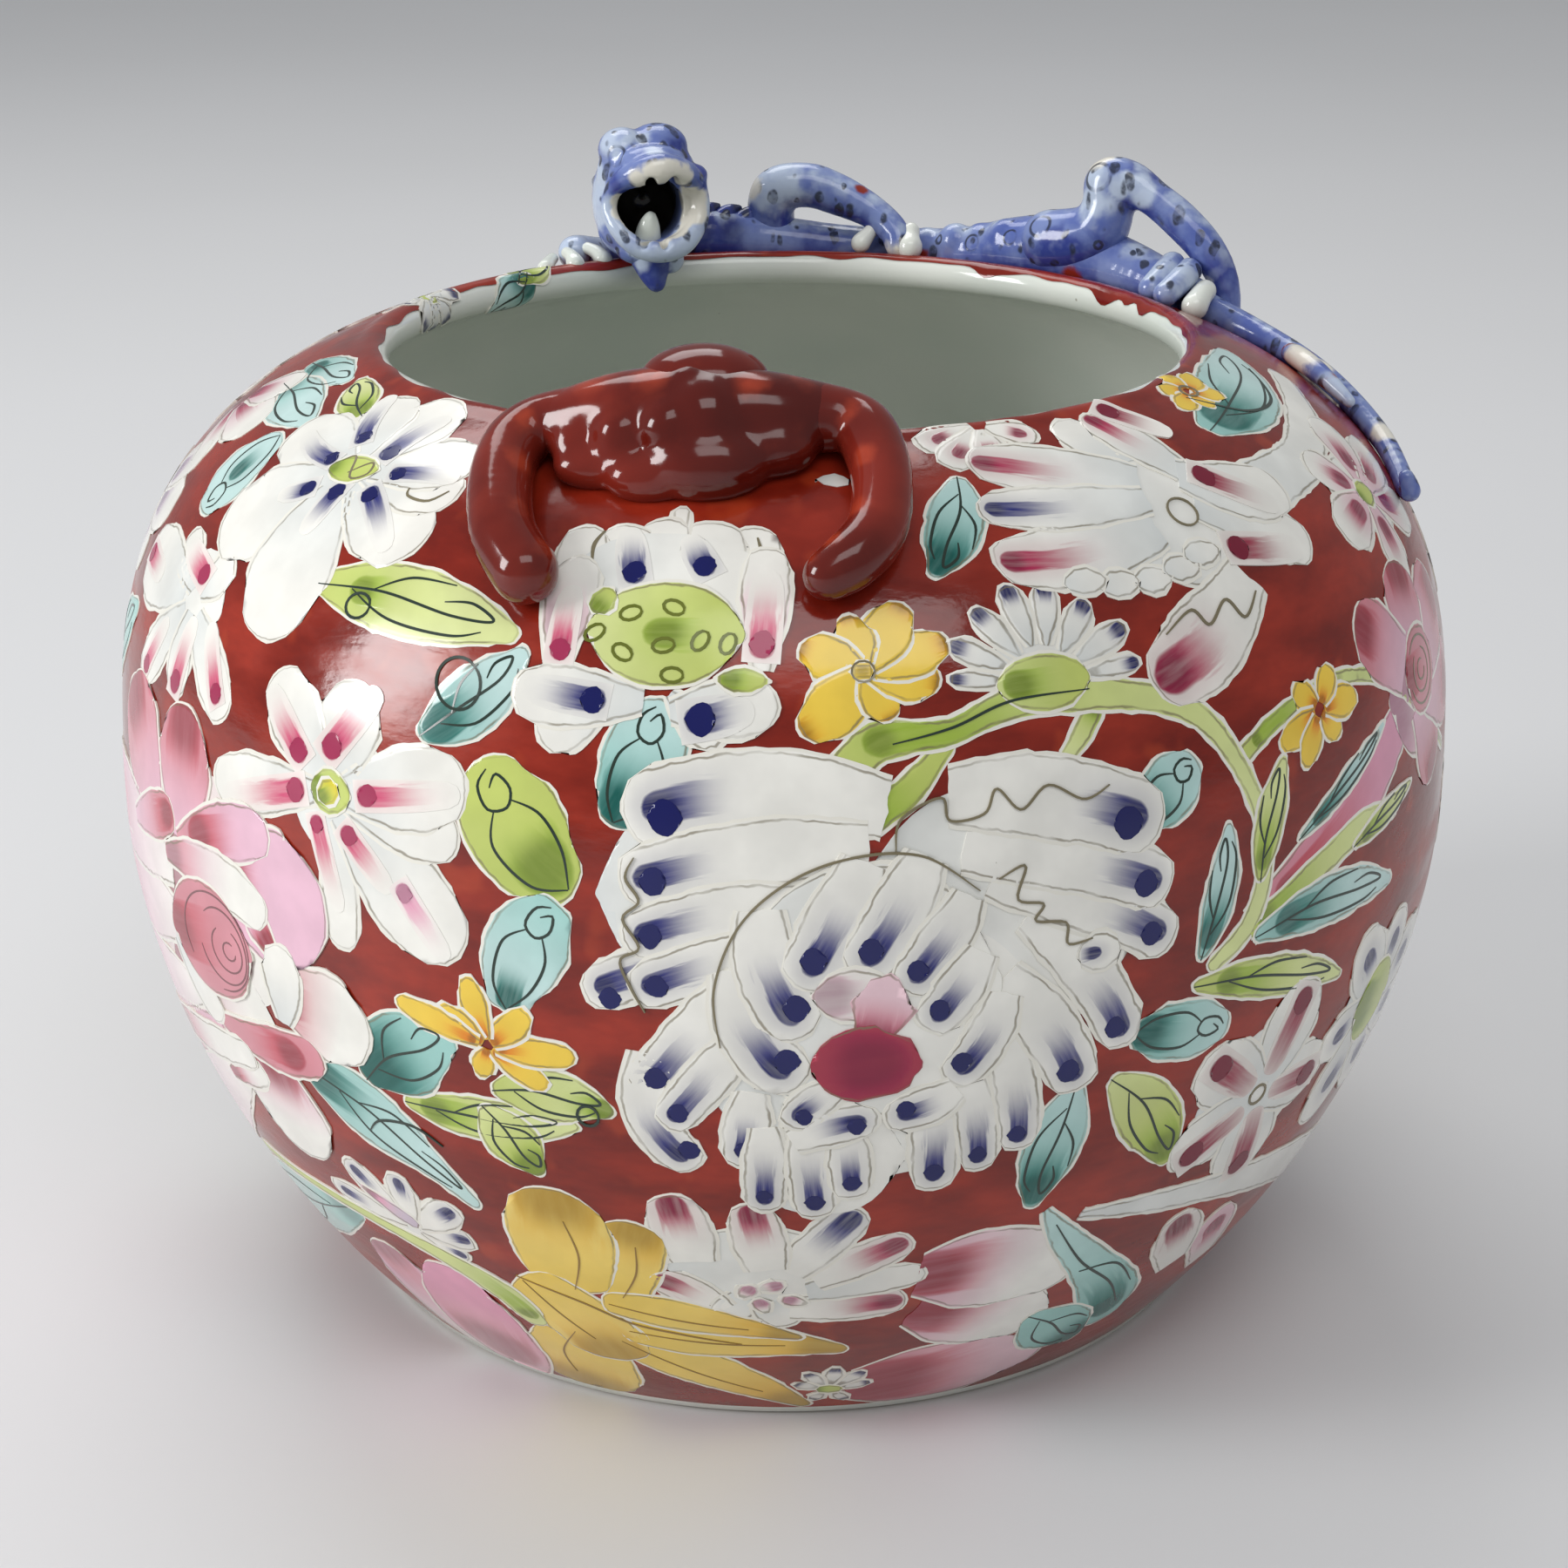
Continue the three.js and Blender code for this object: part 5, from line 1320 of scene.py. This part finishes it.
def on_shoulder(azimuth, radius, rise):
    """The place, in millimetres, so far above the shoulder, or above the lip where it lies over the mouth."""
    share = (max(radius, MOUTH_RADIUS) / BELLY_RADIUS) ** SHOULDER_POWER
    turn = math.radians(azimuth)
    top = BELLY_HEIGHT + SHOULDER_RISE * (1 - share) ** (1 / SHOULDER_POWER)
    return Vector((radius * math.sin(turn), -radius * math.cos(turn), top + rise))


def ball(place, halves, turn=None):
    """A unit ball moved, stretched and turned to its place in millimetres."""
    halves = Vector((halves, halves, halves)) if isinstance(halves, (int, float)) else Vector(halves)
    return Matrix.LocRotScale(Vector(place), turn, halves)


def roll(points):
    """Balls packed along a smooth line of (x, y, z, radius)."""
    rows = [Vector(point) for point in points]
    run = sum((b.xyz - a.xyz).length for a, b in zip(rows, rows[1:]))
    steps = max(4, math.ceil(run / (0.32 * min(row.w for row in rows))))
    beads = [smooth_row(rows, i / steps) for i in range(steps + 1)]
    return [ball(bead.xyz, bead.w) for bead in beads]


def coil(rows):
    """Balls along a coil whose rows are (azimuth, radius, rise, half-thickness)."""
    return roll([(*on_shoulder(*row[:3]), row[3]) for row in rows])


def clay(balls, voxel=0.4, smoothing=8, hollow=None):
    """The balls fused into one smooth skin, less any hollow, as a mesh in metres."""
    shape = bmesh.new()
    for place in balls:
        bmesh.ops.create_icosphere(shape, subdivisions=3, radius=1, matrix=place)
    bmesh.ops.scale(shape, vec=(MM, MM, MM), verts=shape.verts)
    lump = linked("clay", meshed(shape))
    lump.modifiers.new("fuse", "REMESH").voxel_size = voxel * MM
    cutter = None
    if hollow:
        cutter = linked("hollow", clay(hollow, voxel, 2))
        cut = lump.modifiers.new("cut", "BOOLEAN")
        cut.operation, cut.object, cut.solver = "DIFFERENCE", cutter, "EXACT"
        lump.modifiers.new("fuse_again", "REMESH").voxel_size = voxel * MM
    smooth = lump.modifiers.new("smooth", "SMOOTH")
    smooth.factor, smooth.iterations = 0.5, smoothing
    done = bpy.data.meshes.new_from_object(lump.evaluated_get(bpy.context.evaluated_depsgraph_get()))
    for leftover in filter(None, (lump, cutter)):
        spare = leftover.data
        bpy.data.objects.remove(leftover)
        bpy.data.meshes.remove(spare)
    return done


def coil_tones(rows, pale=0.55, deep=0.8):
    """Zones that leave a coil's ridge pale and its foot deep, as the enamel ran down it, and as painted
    highlight on top and painted shade below.
    """
    rows = [Vector(row) for row in rows]
    steps = 3 * len(rows)
    zones = []
    for i in range(steps + 1):
        azimuth, radius, rise, half = smooth_row(rows, i / steps)
        zones.append(("pale", (azimuth, radius - 0.2 * half, rise + half), 0.5 * half, pale))
        zones.append(("deep", (azimuth, radius - 0.5 * half, rise - 0.9 * half), 0.7 * half, deep))
    return zones


def paint_zones(mesh, zones, placed=on_shoulder):
    """Sets how strong each named colour is, from zones of (name, place, reach, strength) in millimetres.
    A ring runs round its place at its reach."""
    points = np.array([v.co[:] for v in mesh.vertices]) / MM
    for name in ZONE_NAMES:
        amounts = np.full(len(points), NO_RING if name == "ring" else 0.0)
        for zone, place, reach, strength in zones:
            if zone != name:
                continue
            away = np.linalg.norm(points - np.array(placed(*place)), axis=1) / reach
            if zone == "ring":
                amounts = np.minimum(amounts, away)
            else:
                amounts = np.maximum(amounts, np.clip(strength * (ZONE_FADE - away), 0, min(strength, 1)))
        mesh.attributes.new(name, "FLOAT", "POINT").data.foreach_set("value", amounts.astype(np.float32))


def add_clay(name, mesh, material, replaced):
    mesh.polygons.foreach_set("use_smooth", [True] * len(mesh.polygons))
    add_piece(name, mesh, [material], replaced)


trunk = clay(coil(TRUNK) + [ball(on_shoulder(*knob[:3]), knob[3]) for knob in SPINE_KNOBS], 0.35, 5)
# Deep under the near foreleg's arch is painted shade.
paint_zones(trunk, coil_tones(TRUNK) + [
    ("deep", (176, 50, -1), 4, 1), ("deep", (192, 47, 2), 5, 1),
    ("dark", (193, 47, 4), 2, 0.5), ("dark", (188, 47.4, 3), 1.6, 0.4),
    ("red", (133, 47, -0.6), 1.4, 1), ("red", (159, 47.4, 0.2), 0.8, 1),
    ("ring", (150.8, 47.4, 2.2), 1.1, 1), ("ring", (157, 47.6, 2.4), 0.9, 1),
    ("ring", (144, 46.6, 3.4), 1, 1),
])
add_clay("dragon_trunk_enamelled", trunk, DRAGON_ENAMEL, ["dragon_trunk"])

tail = clay(coil(TAIL), 0.3, 5)
# The white zones on the tail's top are painted highlight.
paint_zones(tail, coil_tones(TAIL) + [
    ("bare_and_highlight", (98, 61.4, 2.4), 1.4, 1), ("red", (101, 60.4, 1.4), 1.2, 1),
    ("bare_and_highlight", (88, 66.6, 2.6), 1.4, 1), ("red", (79.6, 68.6, 3), 0.8, 1),
])
add_clay("dragon_tail_enamelled", tail, DRAGON_ENAMEL, ["dragon_tail"])

tail_lock = clay(coil(TAIL_LOCK), 0.25, 4)
# The white and pale zones on the lock are painted highlight.
paint_zones(tail_lock, [("bare_and_highlight", (97, 59.2, 2), 3, 0.9), ("red", (101, 59, 1.6), 1.1, 1),
                        ("red", (92, 61, 1.4), 1, 1), ("pale", (90, 62.6, 1.5), 3, 1)])
add_clay("dragon_tail_lock_enamelled", tail_lock, DRAGON_ENAMEL, ["dragon_tail_lock"])

# The dragon's legs
# Rolled coils, thick at the haunch and drawn thin over the joints. The near foreleg arches over the lip, and
# the near hind leg lifts its knee high in the air and comes down on the shoulder.
LEGS = {
    "dragon_foreleg_inner": [(181.8, 51.4, 3.9, 3.1), (181.4, 50.3, 8, 2.9), (176.8, 50, 8.8, 2.8),
                             (172.2, 49.8, 7.6, 2.6), (167, 48.9, 5.4, 2.1), (163.4, 47.6, 2.9, 1.9),
                             (162.4, 46.6, 1.1, 1.7)],
    "dragon_foreleg_outer": [(190, 53, 2.2, 2.9), (197, 55.6, 2.6, 2.7), (204, 54.6, 2, 2.5),
                             (209.6, 51.4, 1.9, 2.3), (211, 50, 1.7, 2.1)],
    "dragon_hindleg_inner": [(138.6, 49, 4, 3.8), (134.6, 49.6, 4.7, 3.9), (131.8, 50.4, 6.2, 3.6),
                             (130.8, 51.2, 9.6, 3.2), (131, 51.4, 12.6, 2.9), (128.4, 52.6, 13.2, 2.6),
                             (125.2, 53.8, 12.2, 2.2), (122, 55.2, 10.8, 2.3), (118.6, 56.7, 8.7, 2.2),
                             (116.8, 58, 6.2, 1.9), (116.4, 58.6, 3.2, 1.7), (116.6, 58.6, 0.6, 1.7)],
    "dragon_hindleg_outer": [(142, 53.6, 3.5, 3.6), (146, 58, 4.8, 3.1), (145, 62.4, 4.8, 2.6),
                             (138, 64.6, 3.3, 2.3), (131, 66.2, 2.8, 2.1), (127.5, 67, 2.5, 1.9)],
}
KNEE_CAP = (130.6, 48.9, 12.6)  # where the drawn oval on the near knee lies
# Pale and bare on the tops of the elbow, the knee and the shin are painted highlight as well as thin enamel;
# deep under the foreleg's arch, behind the knee and low on the legs is painted shade as well as pooled
# enamel.
LEG_ZONES = {
    "dragon_foreleg_inner": [
        ("pale", (182, 49, 9.4), 3.6, 1.2), ("pale", (174, 49, 9.4), 2.6, 0.7),
        ("bare_and_highlight", (185, 49.4, 8.4), 1.6, 0.9), ("deep", (178, 48, 4.4), 3, 1),
        ("red", (168.6, 48.6, 8.2), 0.8, 1), ("bare_and_highlight", (162.4, 45.8, 0.4), 1.4, 0.8),
    ],
    "dragon_foreleg_outer": [("pale", (209, 50.4, 3.4), 4, 1), ("deep", (200, 53, 3), 3, 0.8)],
    "dragon_hindleg_inner": [
        ("bare_and_highlight", (132.4, 50.8, 15), 1.8, 1.2), ("bare_and_highlight", (134.4, 50.4, 12.8), 1.4, 1.1),
        ("ring", KNEE_CAP, 1.8, 1), ("pale", KNEE_CAP, 1.5, 1.6),
        ("pale", (127.6, 50.4, 12.4), 1.4, 1.4), ("pale", (125.4, 51.8, 12.6), 1.6, 1.3),
        ("pale", (130.6, 48, 9), 2.4, 0.9), ("deep", (126.6, 54, 15.6), 2.4, 1.2),
        ("ring", (138.2, 46, 5.3), 1.5, 1), ("ring", (129.4, 48.4, 4.6), 0.8, 1),
        ("deep", (134, 46, 1.4), 3.6, 1), ("red", (131, 49.6, 2.2), 1.1, 1),
        ("deep", (117.4, 57.4, 6), 3.4, 0.7), ("bare_and_highlight", (117, 56.4, 5), 0.8, 0.8),
    ],
    "dragon_hindleg_outer": [("red", (141, 61, 5), 1.2, 1), ("deep", (134, 65, 2), 4, 0.8)],
}
for node, rows in LEGS.items():
    leg = clay(coil(rows), 0.4, 7)
    paint_zones(leg, coil_tones(rows, 0.45) + LEG_ZONES[node])
    add_clay(node + "_enamelled", leg, DRAGON_ENAMEL, [node])

# The dragon's head
# A hollow ball of clay with the mouth cut wide open. The lips are drawn out thick and stay white, a cone of
# clay stands in the mouth as the tongue, and a drop hangs under the chin. It looks inwards over the lip.
HEAD_PLACE, HEAD_YAW = on_shoulder(201.5, 43.6, 6.7), math.radians(15)
UPPER_LIP = [(-5.6, -3.4, 2.6, 1.1), (-4, -6, 4.5, 1.5), (-0.8, -7.2, 5.4, 2), (2.4, -6.4, 4.7, 1.6),
             (4.6, -4.2, 2.8, 1.2)]
LOWER_LIP = [(-5.6, -3.4, 2.6, 1.1), (-6.2, -3.4, 0.4, 1), (-5.4, -4.8, -1.8, 1.2), (-3.6, -6.2, -3.6, 1.4),
             (-0.8, -7, -4.4, 1.5), (2.2, -6.4, -3.8, 1.4), (4.4, -4.8, -1.8, 1.3), (5, -4, 0.6, 1.2),
             (4.6, -4.2, 2.8, 1.2)]
HEAD_TURN = Matrix.Translation(HEAD_PLACE) @ Matrix.Rotation(HEAD_YAW, 4, "Z")


def on_head(*place):
    return HEAD_TURN @ Vector(place)


def head_roll(rows):
    return [HEAD_TURN @ bead for bead in roll(rows)]


GAPE = [HEAD_TURN @ ball(place, halves) for place, halves in [
    ((-1.2, -4, 0.3), (4.1, 6.6, 3.9)), ((0.6, -8.4, 0.4), (4.4, 3, 3.5)), ((-2, -7.6, 4.1), (0.7, 2.6, 0.8)),
    ((0.7, -7.6, 4.1), (0.7, 2.6, 0.8)), ((-2.8, -7.2, -3.5), (0.6, 2, 0.5)),
    ((-0.4, -7.8, -3.7), (0.6, 2, 0.5)),
]]
SKULL = [
    ((-0.7, 1.2, 0.4), (6.5, 7.2, 8.2)), ((-0.8, -0.2, 3.8), (6.1, 5.4, 4.6)),
    ((-3.6, 0.2, 6.6), (3, 3.6, 2.8)), ((0.7, 0.4, 6.8), (3.8, 3.6, 2.9)),
    ((4.5, -3.2, 3.8), (1.6, 2.4, 1.4)), ((-0.8, -4.2, 6), (4, 2.6, 1.9)), ((-0.9, 0.2, -2.6), (6, 6, 4.4)),
    ((-0.9, -2.6, -5), (4.4, 3.2, 2)),
]
# Pale down the head's left side and on its top is painted highlight, and deep on its right side is painted
# shade; the near-black zones inside the hollow of the open mouth are painted shade.
HEAD_ZONES = [
    ("bare_and_highlight", (-2.9, -7.2, 4.7), 1.3, 1.3), ("bare_and_highlight", (-1.6, -8.4, 5.2), 1.4, 1.3),
    ("bare_and_highlight", (0.2, -8.6, 5.2), 1.4, 1.3), ("bare_and_highlight", (1.7, -7.6, 4.7), 1.3, 1.3),
    ("bare_and_highlight", (3.4, -5.2, 2.6), 1.1, 1.2), ("bare_and_highlight", (3.9, -4.6, 1.2), 1.6, 1.3),
    ("bare_and_highlight", (3.8, -5, -0.6), 1.4, 1.3), ("bare_and_highlight", (-5.2, -4.6, 1.4), 0.9, 1.2),
    ("bare_and_highlight", (-5.4, -4.8, 0), 0.8, 1.2), ("pale", (-7.2, 0, 3), 1.8, 1.5),
    ("pale", (-7.2, 0, -0.6), 1.8, 1.5), ("pale", (-4.4, -1.2, 8.8), 2, 1.5),
    ("pale", (-1.8, -2.6, 8.6), 1.1, 1), ("pale", (-4.8, -2.6, 6.4), 0.7, 1),
    ("pale", (-1, -6.4, 7.4), 1.2, 0.8), ("deep", (-5, -5, 3.8), 1.2, 1.5),
    ("deep", (4.9, -4.4, 4), 1.4, 1.4), ("deep", (3, -3, 7), 1.8, 0.9), ("deep", (-0.8, -4.5, -7), 1.8, 1),
    ("deep", (6, 1, 0), 3, 1), ("ring", (-4.9, -2.8, 6.4), 1.3, 1), ("ring", (4, -3, 6.8), 1, 1),
    ("ring", (0.8, -3.8, 8.4), 1, 1), ("dark", (-1, 1.2, 0.3), 3.4, 3), ("dark", (-1.4, -1.8, 0.3), 3, 3),
]
for i in range(19):
    turn = math.radians(180 + 10 * i)
    x, z = 4.4 * math.cos(turn) - 0.4, 3.7 * math.sin(turn) + 0.3
    HEAD_ZONES.append(("bare_and_highlight", (x, -6.8 + 2.2 * math.cos(turn) ** 2, z), 0.75, 1.5))
    HEAD_ZONES.append(("pale", (1.22 * x, -7.4 + 3.2 * math.cos(turn) ** 2, 1.3 * z - 0.4), 1.5, 1.4))
skull = clay([HEAD_TURN @ ball(*lump) for lump in SKULL] + head_roll(UPPER_LIP) + head_roll(LOWER_LIP), 0.3,
             4, GAPE)
paint_zones(skull, HEAD_ZONES, on_head)
add_clay("dragon_head_enamelled", skull, DRAGON_ENAMEL, ["dragon_skull", "dragon_lower_jaw"])

beard = clay(head_roll([(-1.1, -3.4, -5.6, 2.6), (-1, -4.2, -7.3, 1.9), (-0.8, -4.8, -8.7, 1.2)])
             + [HEAD_TURN @ ball((1.3, -3.2, -6.2), 1.8)], 0.3, 5)
paint_zones(beard, [("deep", (-1, -4.6, -7.6), 4, 1), ("pale", (2.2, -4, -6.6), 1.5, 1),
                    ("pale", (-2.6, -5.4, -6.4), 1, 0.6)], on_head)
add_clay("dragon_beard_enamelled", beard, DRAGON_ENAMEL, ["dragon_beard"])

for side, name in ((-1, "dragon_ear_left"), (1, "dragon_ear_right")):
    rows = [(4.6 * side, 6.2, 1.6, 1.5), (4.6 * side, 8.6, 1.4, 1.2), (4 * side, 10.6, 1.6, 0.7)]
    ear = clay(head_roll(rows), 0.25, 4)
    paint_zones(ear, [("pale", (4.6 * side, 8, 2.6), 3, 1)], on_head)
    add_clay(name + "_enamelled", ear, DRAGON_ENAMEL, [name])
for i in range(3):
    azimuth = 191 - 3 * i
    lock = clay(coil([(azimuth + 1.6, 49.6, 4.5 - 0.3 * i, 1.4), (azimuth, 50, 5.7 - 0.3 * i, 1.1),
                      (azimuth - 1.6, 50.6, 6.4 - 0.3 * i, 0.5)]), 0.25, 4)
    paint_zones(lock, [("deep", (azimuth, 49.6, 4), 3, 1), ("dark", (azimuth - 1.6, 50, 6), 1.2, 0.8)])
    add_clay("dragon_mane_lock_{}_enamelled".format(i + 1), lock, DRAGON_ENAMEL,
             ["dragon_mane_lock_{}".format(i + 1)])

# The claws and the tongue
# Pinches of white clay pressed on after the legs, under the clear glaze alone. Two long toes of the near hind
# foot grip the lip and have a pale blue wash.
CLAWS = {
    "dragon_foreleg_inner_claw_1": [(160.9, 47.9, 3.1, 1.15), (160.7, 47.2, 2.1, 1.2),
                                    (160.4, 46.3, 0.9, 1.6)],
    "dragon_foreleg_inner_claw_2": [(166.4, 48, 3.5, 0.85), (167.2, 47.2, 2.4, 0.95),
                                    (168.2, 46.4, 1.1, 1.25)],
    "dragon_foreleg_outer_claw_1": [(213, 48.8, 1.6, 0.8), (213.4, 47, 0.8, 0.9), (213.8, 45.6, -0.2, 1.2)],
    "dragon_foreleg_outer_claw_2": [(214, 51, 1.5, 0.8), (215.4, 49.8, 0.8, 0.9), (216.8, 48.6, 0, 1.1)],
    "dragon_foreleg_outer_claw_3": [(210, 48.2, 1.8, 0.8), (209.4, 46.8, 1, 0.9), (209, 45.6, 0, 1.2)],
    "dragon_hindleg_inner_claw": [(114.8, 54.4, 3.2, 1.35), (113.4, 53, 2.2, 1.4), (111.8, 51.4, 0.7, 1.6)],
    "dragon_hindleg_outer_claw_1": [(125.6, 66.4, 3, 0.9), (122.8, 66.6, 3, 0.7)],
    "dragon_hindleg_outer_claw_2": [(126, 67.8, 3.1, 0.9), (123.4, 68.4, 2.9, 0.7)],
    "dragon_hindleg_outer_claw_3": [(128.4, 68.4, 2.5, 0.9), (127.2, 69.4, 2.2, 0.7)],
}
TOES = {
    "dragon_hindleg_inner_toe_1": [(120.1, 53, 4.8, 1.6), (118.4, 50.6, 3, 1.6), (117.2, 48.2, 0.9, 1.5)],
    "dragon_hindleg_inner_toe_2": [(118, 54, 4.8, 1.6), (115.9, 51.4, 2.9, 1.6), (114.5, 48.8, 0.8, 1.5)],
}
for node, rows in CLAWS.items():
    add_clay(node + "_glazed", clay(coil(rows), 0.25, 4), WHITE_GLAZE, [node])
tongue = clay(head_roll([(-1.5, -3.2, -4.2, 1.8), (-1.4, -3.8, -2.2, 1.4), (-1.2, -4, -0.9, 0.8)]), 0.25, 4)
add_clay("dragon_tongue_glazed", tongue, WHITE_GLAZE, ["dragon_tongue"])
for node, rows in TOES.items():
    toe = clay(coil(rows), 0.25, 4)
    paint_zones(toe, coil_tones(rows, 1, 0.3) + [("pale", rows[1][:3], 3, 0.8),
                                                 ("bare_and_highlight", rows[2][:3], 1.1, 1)])
    add_clay(node + "_enamelled", toe, DRAGON_ENAMEL, [node])

# The bat
# One thick roll of clay bent over the lip, with drooping rolled wings, a lump of a belly and a head that
# looks into the basin. Its iron-red enamel is thin and orange along the ridges.
SHOULDERS = [(-26.5, 50.2, 2.2, 3.1), (-18.5, 49.4, 3.3, 4.3), (-10.5, 49, 3.5, 5), (-2, 48.4, 3.3, 4.4),
             (6.2, 47.6, 2.6, 3.1)]
WINGS = {
    "bat_wing_left": [(-20, 49.6, 3, 3.9), (-27.4, 50.4, 2.3, 3.1), (-29.2, 53.4, 2.1, 3.1),
                      (-27.8, 57.9, 2.2, 3.2), (-24.9, 62.8, 2.8, 3.3), (-21.6, 65.6, 3.1, 3.3)],
    "bat_wing_right": [(1, 48, 3, 3.9), (7.2, 48.2, 2.6, 3.1), (9.2, 50.8, 2.5, 3.1), (9.5, 56, 2.3, 3),
                       (8.1, 61, 2.5, 3), (5.6, 63.8, 3, 2.9), (3.6, 64.8, 2.9, 2.5)],
}


def bat_finish():
    """Iron red, dark where it pooled and as painted shade, and orange where it ran thin off the ridges."""
    material, tree, shader, where = new_finish("bat_iron_red", 0.12)
    tone = mixed(tree, ramp(tree, mottle(tree, where, 90, 3), 0.32, 0.7), look(98, 26, 18), look(126, 39, 28))
    # Deep red: pooled enamel and painted shade.
    tone = mixed(tree, ramp(tree, held(tree, "deep"), 0, 1, 0, 0.75), tone, look(76, 15, 9))
    wander = ramp(tree, mottle(tree, where, 220, 3), 0.3, 0.7, -0.3, 0.3)
    thin = ramp(tree, plus(tree, held(tree, "pale"), wander), 0.1, 1.3)
    show(tree, shader, mixed(tree, thin, tone, look(170, 64, 40)), mottle(tree, where, 110, 2), 0.14, 0.0007)
    return material


BAT_ENAMEL = bat_finish()
BAT_LUMPS = [
    ((-9.2, 46.8, 4.8), (5.8, 4.6, 4)), ((-8.6, 50.2, 4), (4.6, 5, 4.8)), ((-8, 53, 1.6), (6.2, 4, 3.8)),
    ((-12, 52, 4.8), (3, 3.4, 3)), ((-17, 52.4, 2.4), (3.2, 3, 3.1)), ((-22.4, 51.8, 1.9), (3, 2.8, 2.7)),
    ((-13.6, 54, 0.8), (4.6, 2.8, 2.6)), ((-19.6, 52.9, 0.6), (4.6, 2.8, 2.4)),
    ((-2, 50.8, 1.8), (5.2, 3.2, 3.2)), ((-10.2, 49.4, 6.6), (2.8, 2.8, 2.6)),
    ((-12, 53, 5), (2.8, 2.6, 2.6)), ((-17, 52.6, 4.2), (2.8, 2.6, 2.2)),
]
body = clay(coil(SHOULDERS) + [ball(on_shoulder(*place), halves) for place, halves in BAT_LUMPS], 0.45, 18)
# Pale where the red ran thin on the tops; deep in the middle of the body as pooled enamel and painted shade.
paint_zones(body, [("pale", (-14.5, 50.4, 8), 1.8, 0.7), ("pale", (-4, 50.6, 7), 1.8, 0.7),
                   ("pale", (-21, 49.6, 6.8), 2, 0.6), ("pale", (2, 48.6, 6.2), 1.8, 0.7),
                   ("deep", (-4, 51, 5), 9, 1.2)])
add_clay("bat_body_enamelled", body, BAT_ENAMEL, ["bat_body"])
for node, rows in WINGS.items():
    wing = clay(coil(rows), 0.4, 8)
    inner = -1 if node.endswith("right") else 1
    # The inner ridges are pale where the red ran thin; the drooping ends are deep as pooled enamel and
    # painted shade.
    ridge = [("pale", (a + 1.8 * inner, r, rise + 2.4), 1.3, 0.7) for a, r, rise, _ in rows[2:]]
    paint_zones(wing, ridge + [("deep", rows[-1][:3], 6, 0.5)])
    add_clay(node + "_enamelled", wing, BAT_ENAMEL, [node])
bat_head = clay(coil([(-9, 47.2, 5.2, 3.8), (-8.9, 43.6, 3.8, 3.4), (-8.7, 40.8, 2.4, 2.2)])
                + [ball(on_shoulder(-9.4, 46.8, 5.6), (6.4, 4.8, 3.7))], 0.4, 14)
paint_zones(bat_head, [("pale", (-11.5, 44, 9.2), 1.6, 0.8)])
add_clay("bat_head_enamelled", bat_head, BAT_ENAMEL, ["bat_head"])
for node, place, half in (("bat_ear_left", (-12.4, 45.6, 7.2), 1), ("bat_ear_right", (-4.6, 46.4, 6.8), 1.5)):
    ear = clay([ball(on_shoulder(*place), half), ball(on_shoulder(place[0], place[1], place[2] - 1.2),
                                                      1.6 * half)],
               0.3, 10)
    paint_zones(ear, [])
    add_clay(node + "_enamelled", ear, BAT_ENAMEL, [node])
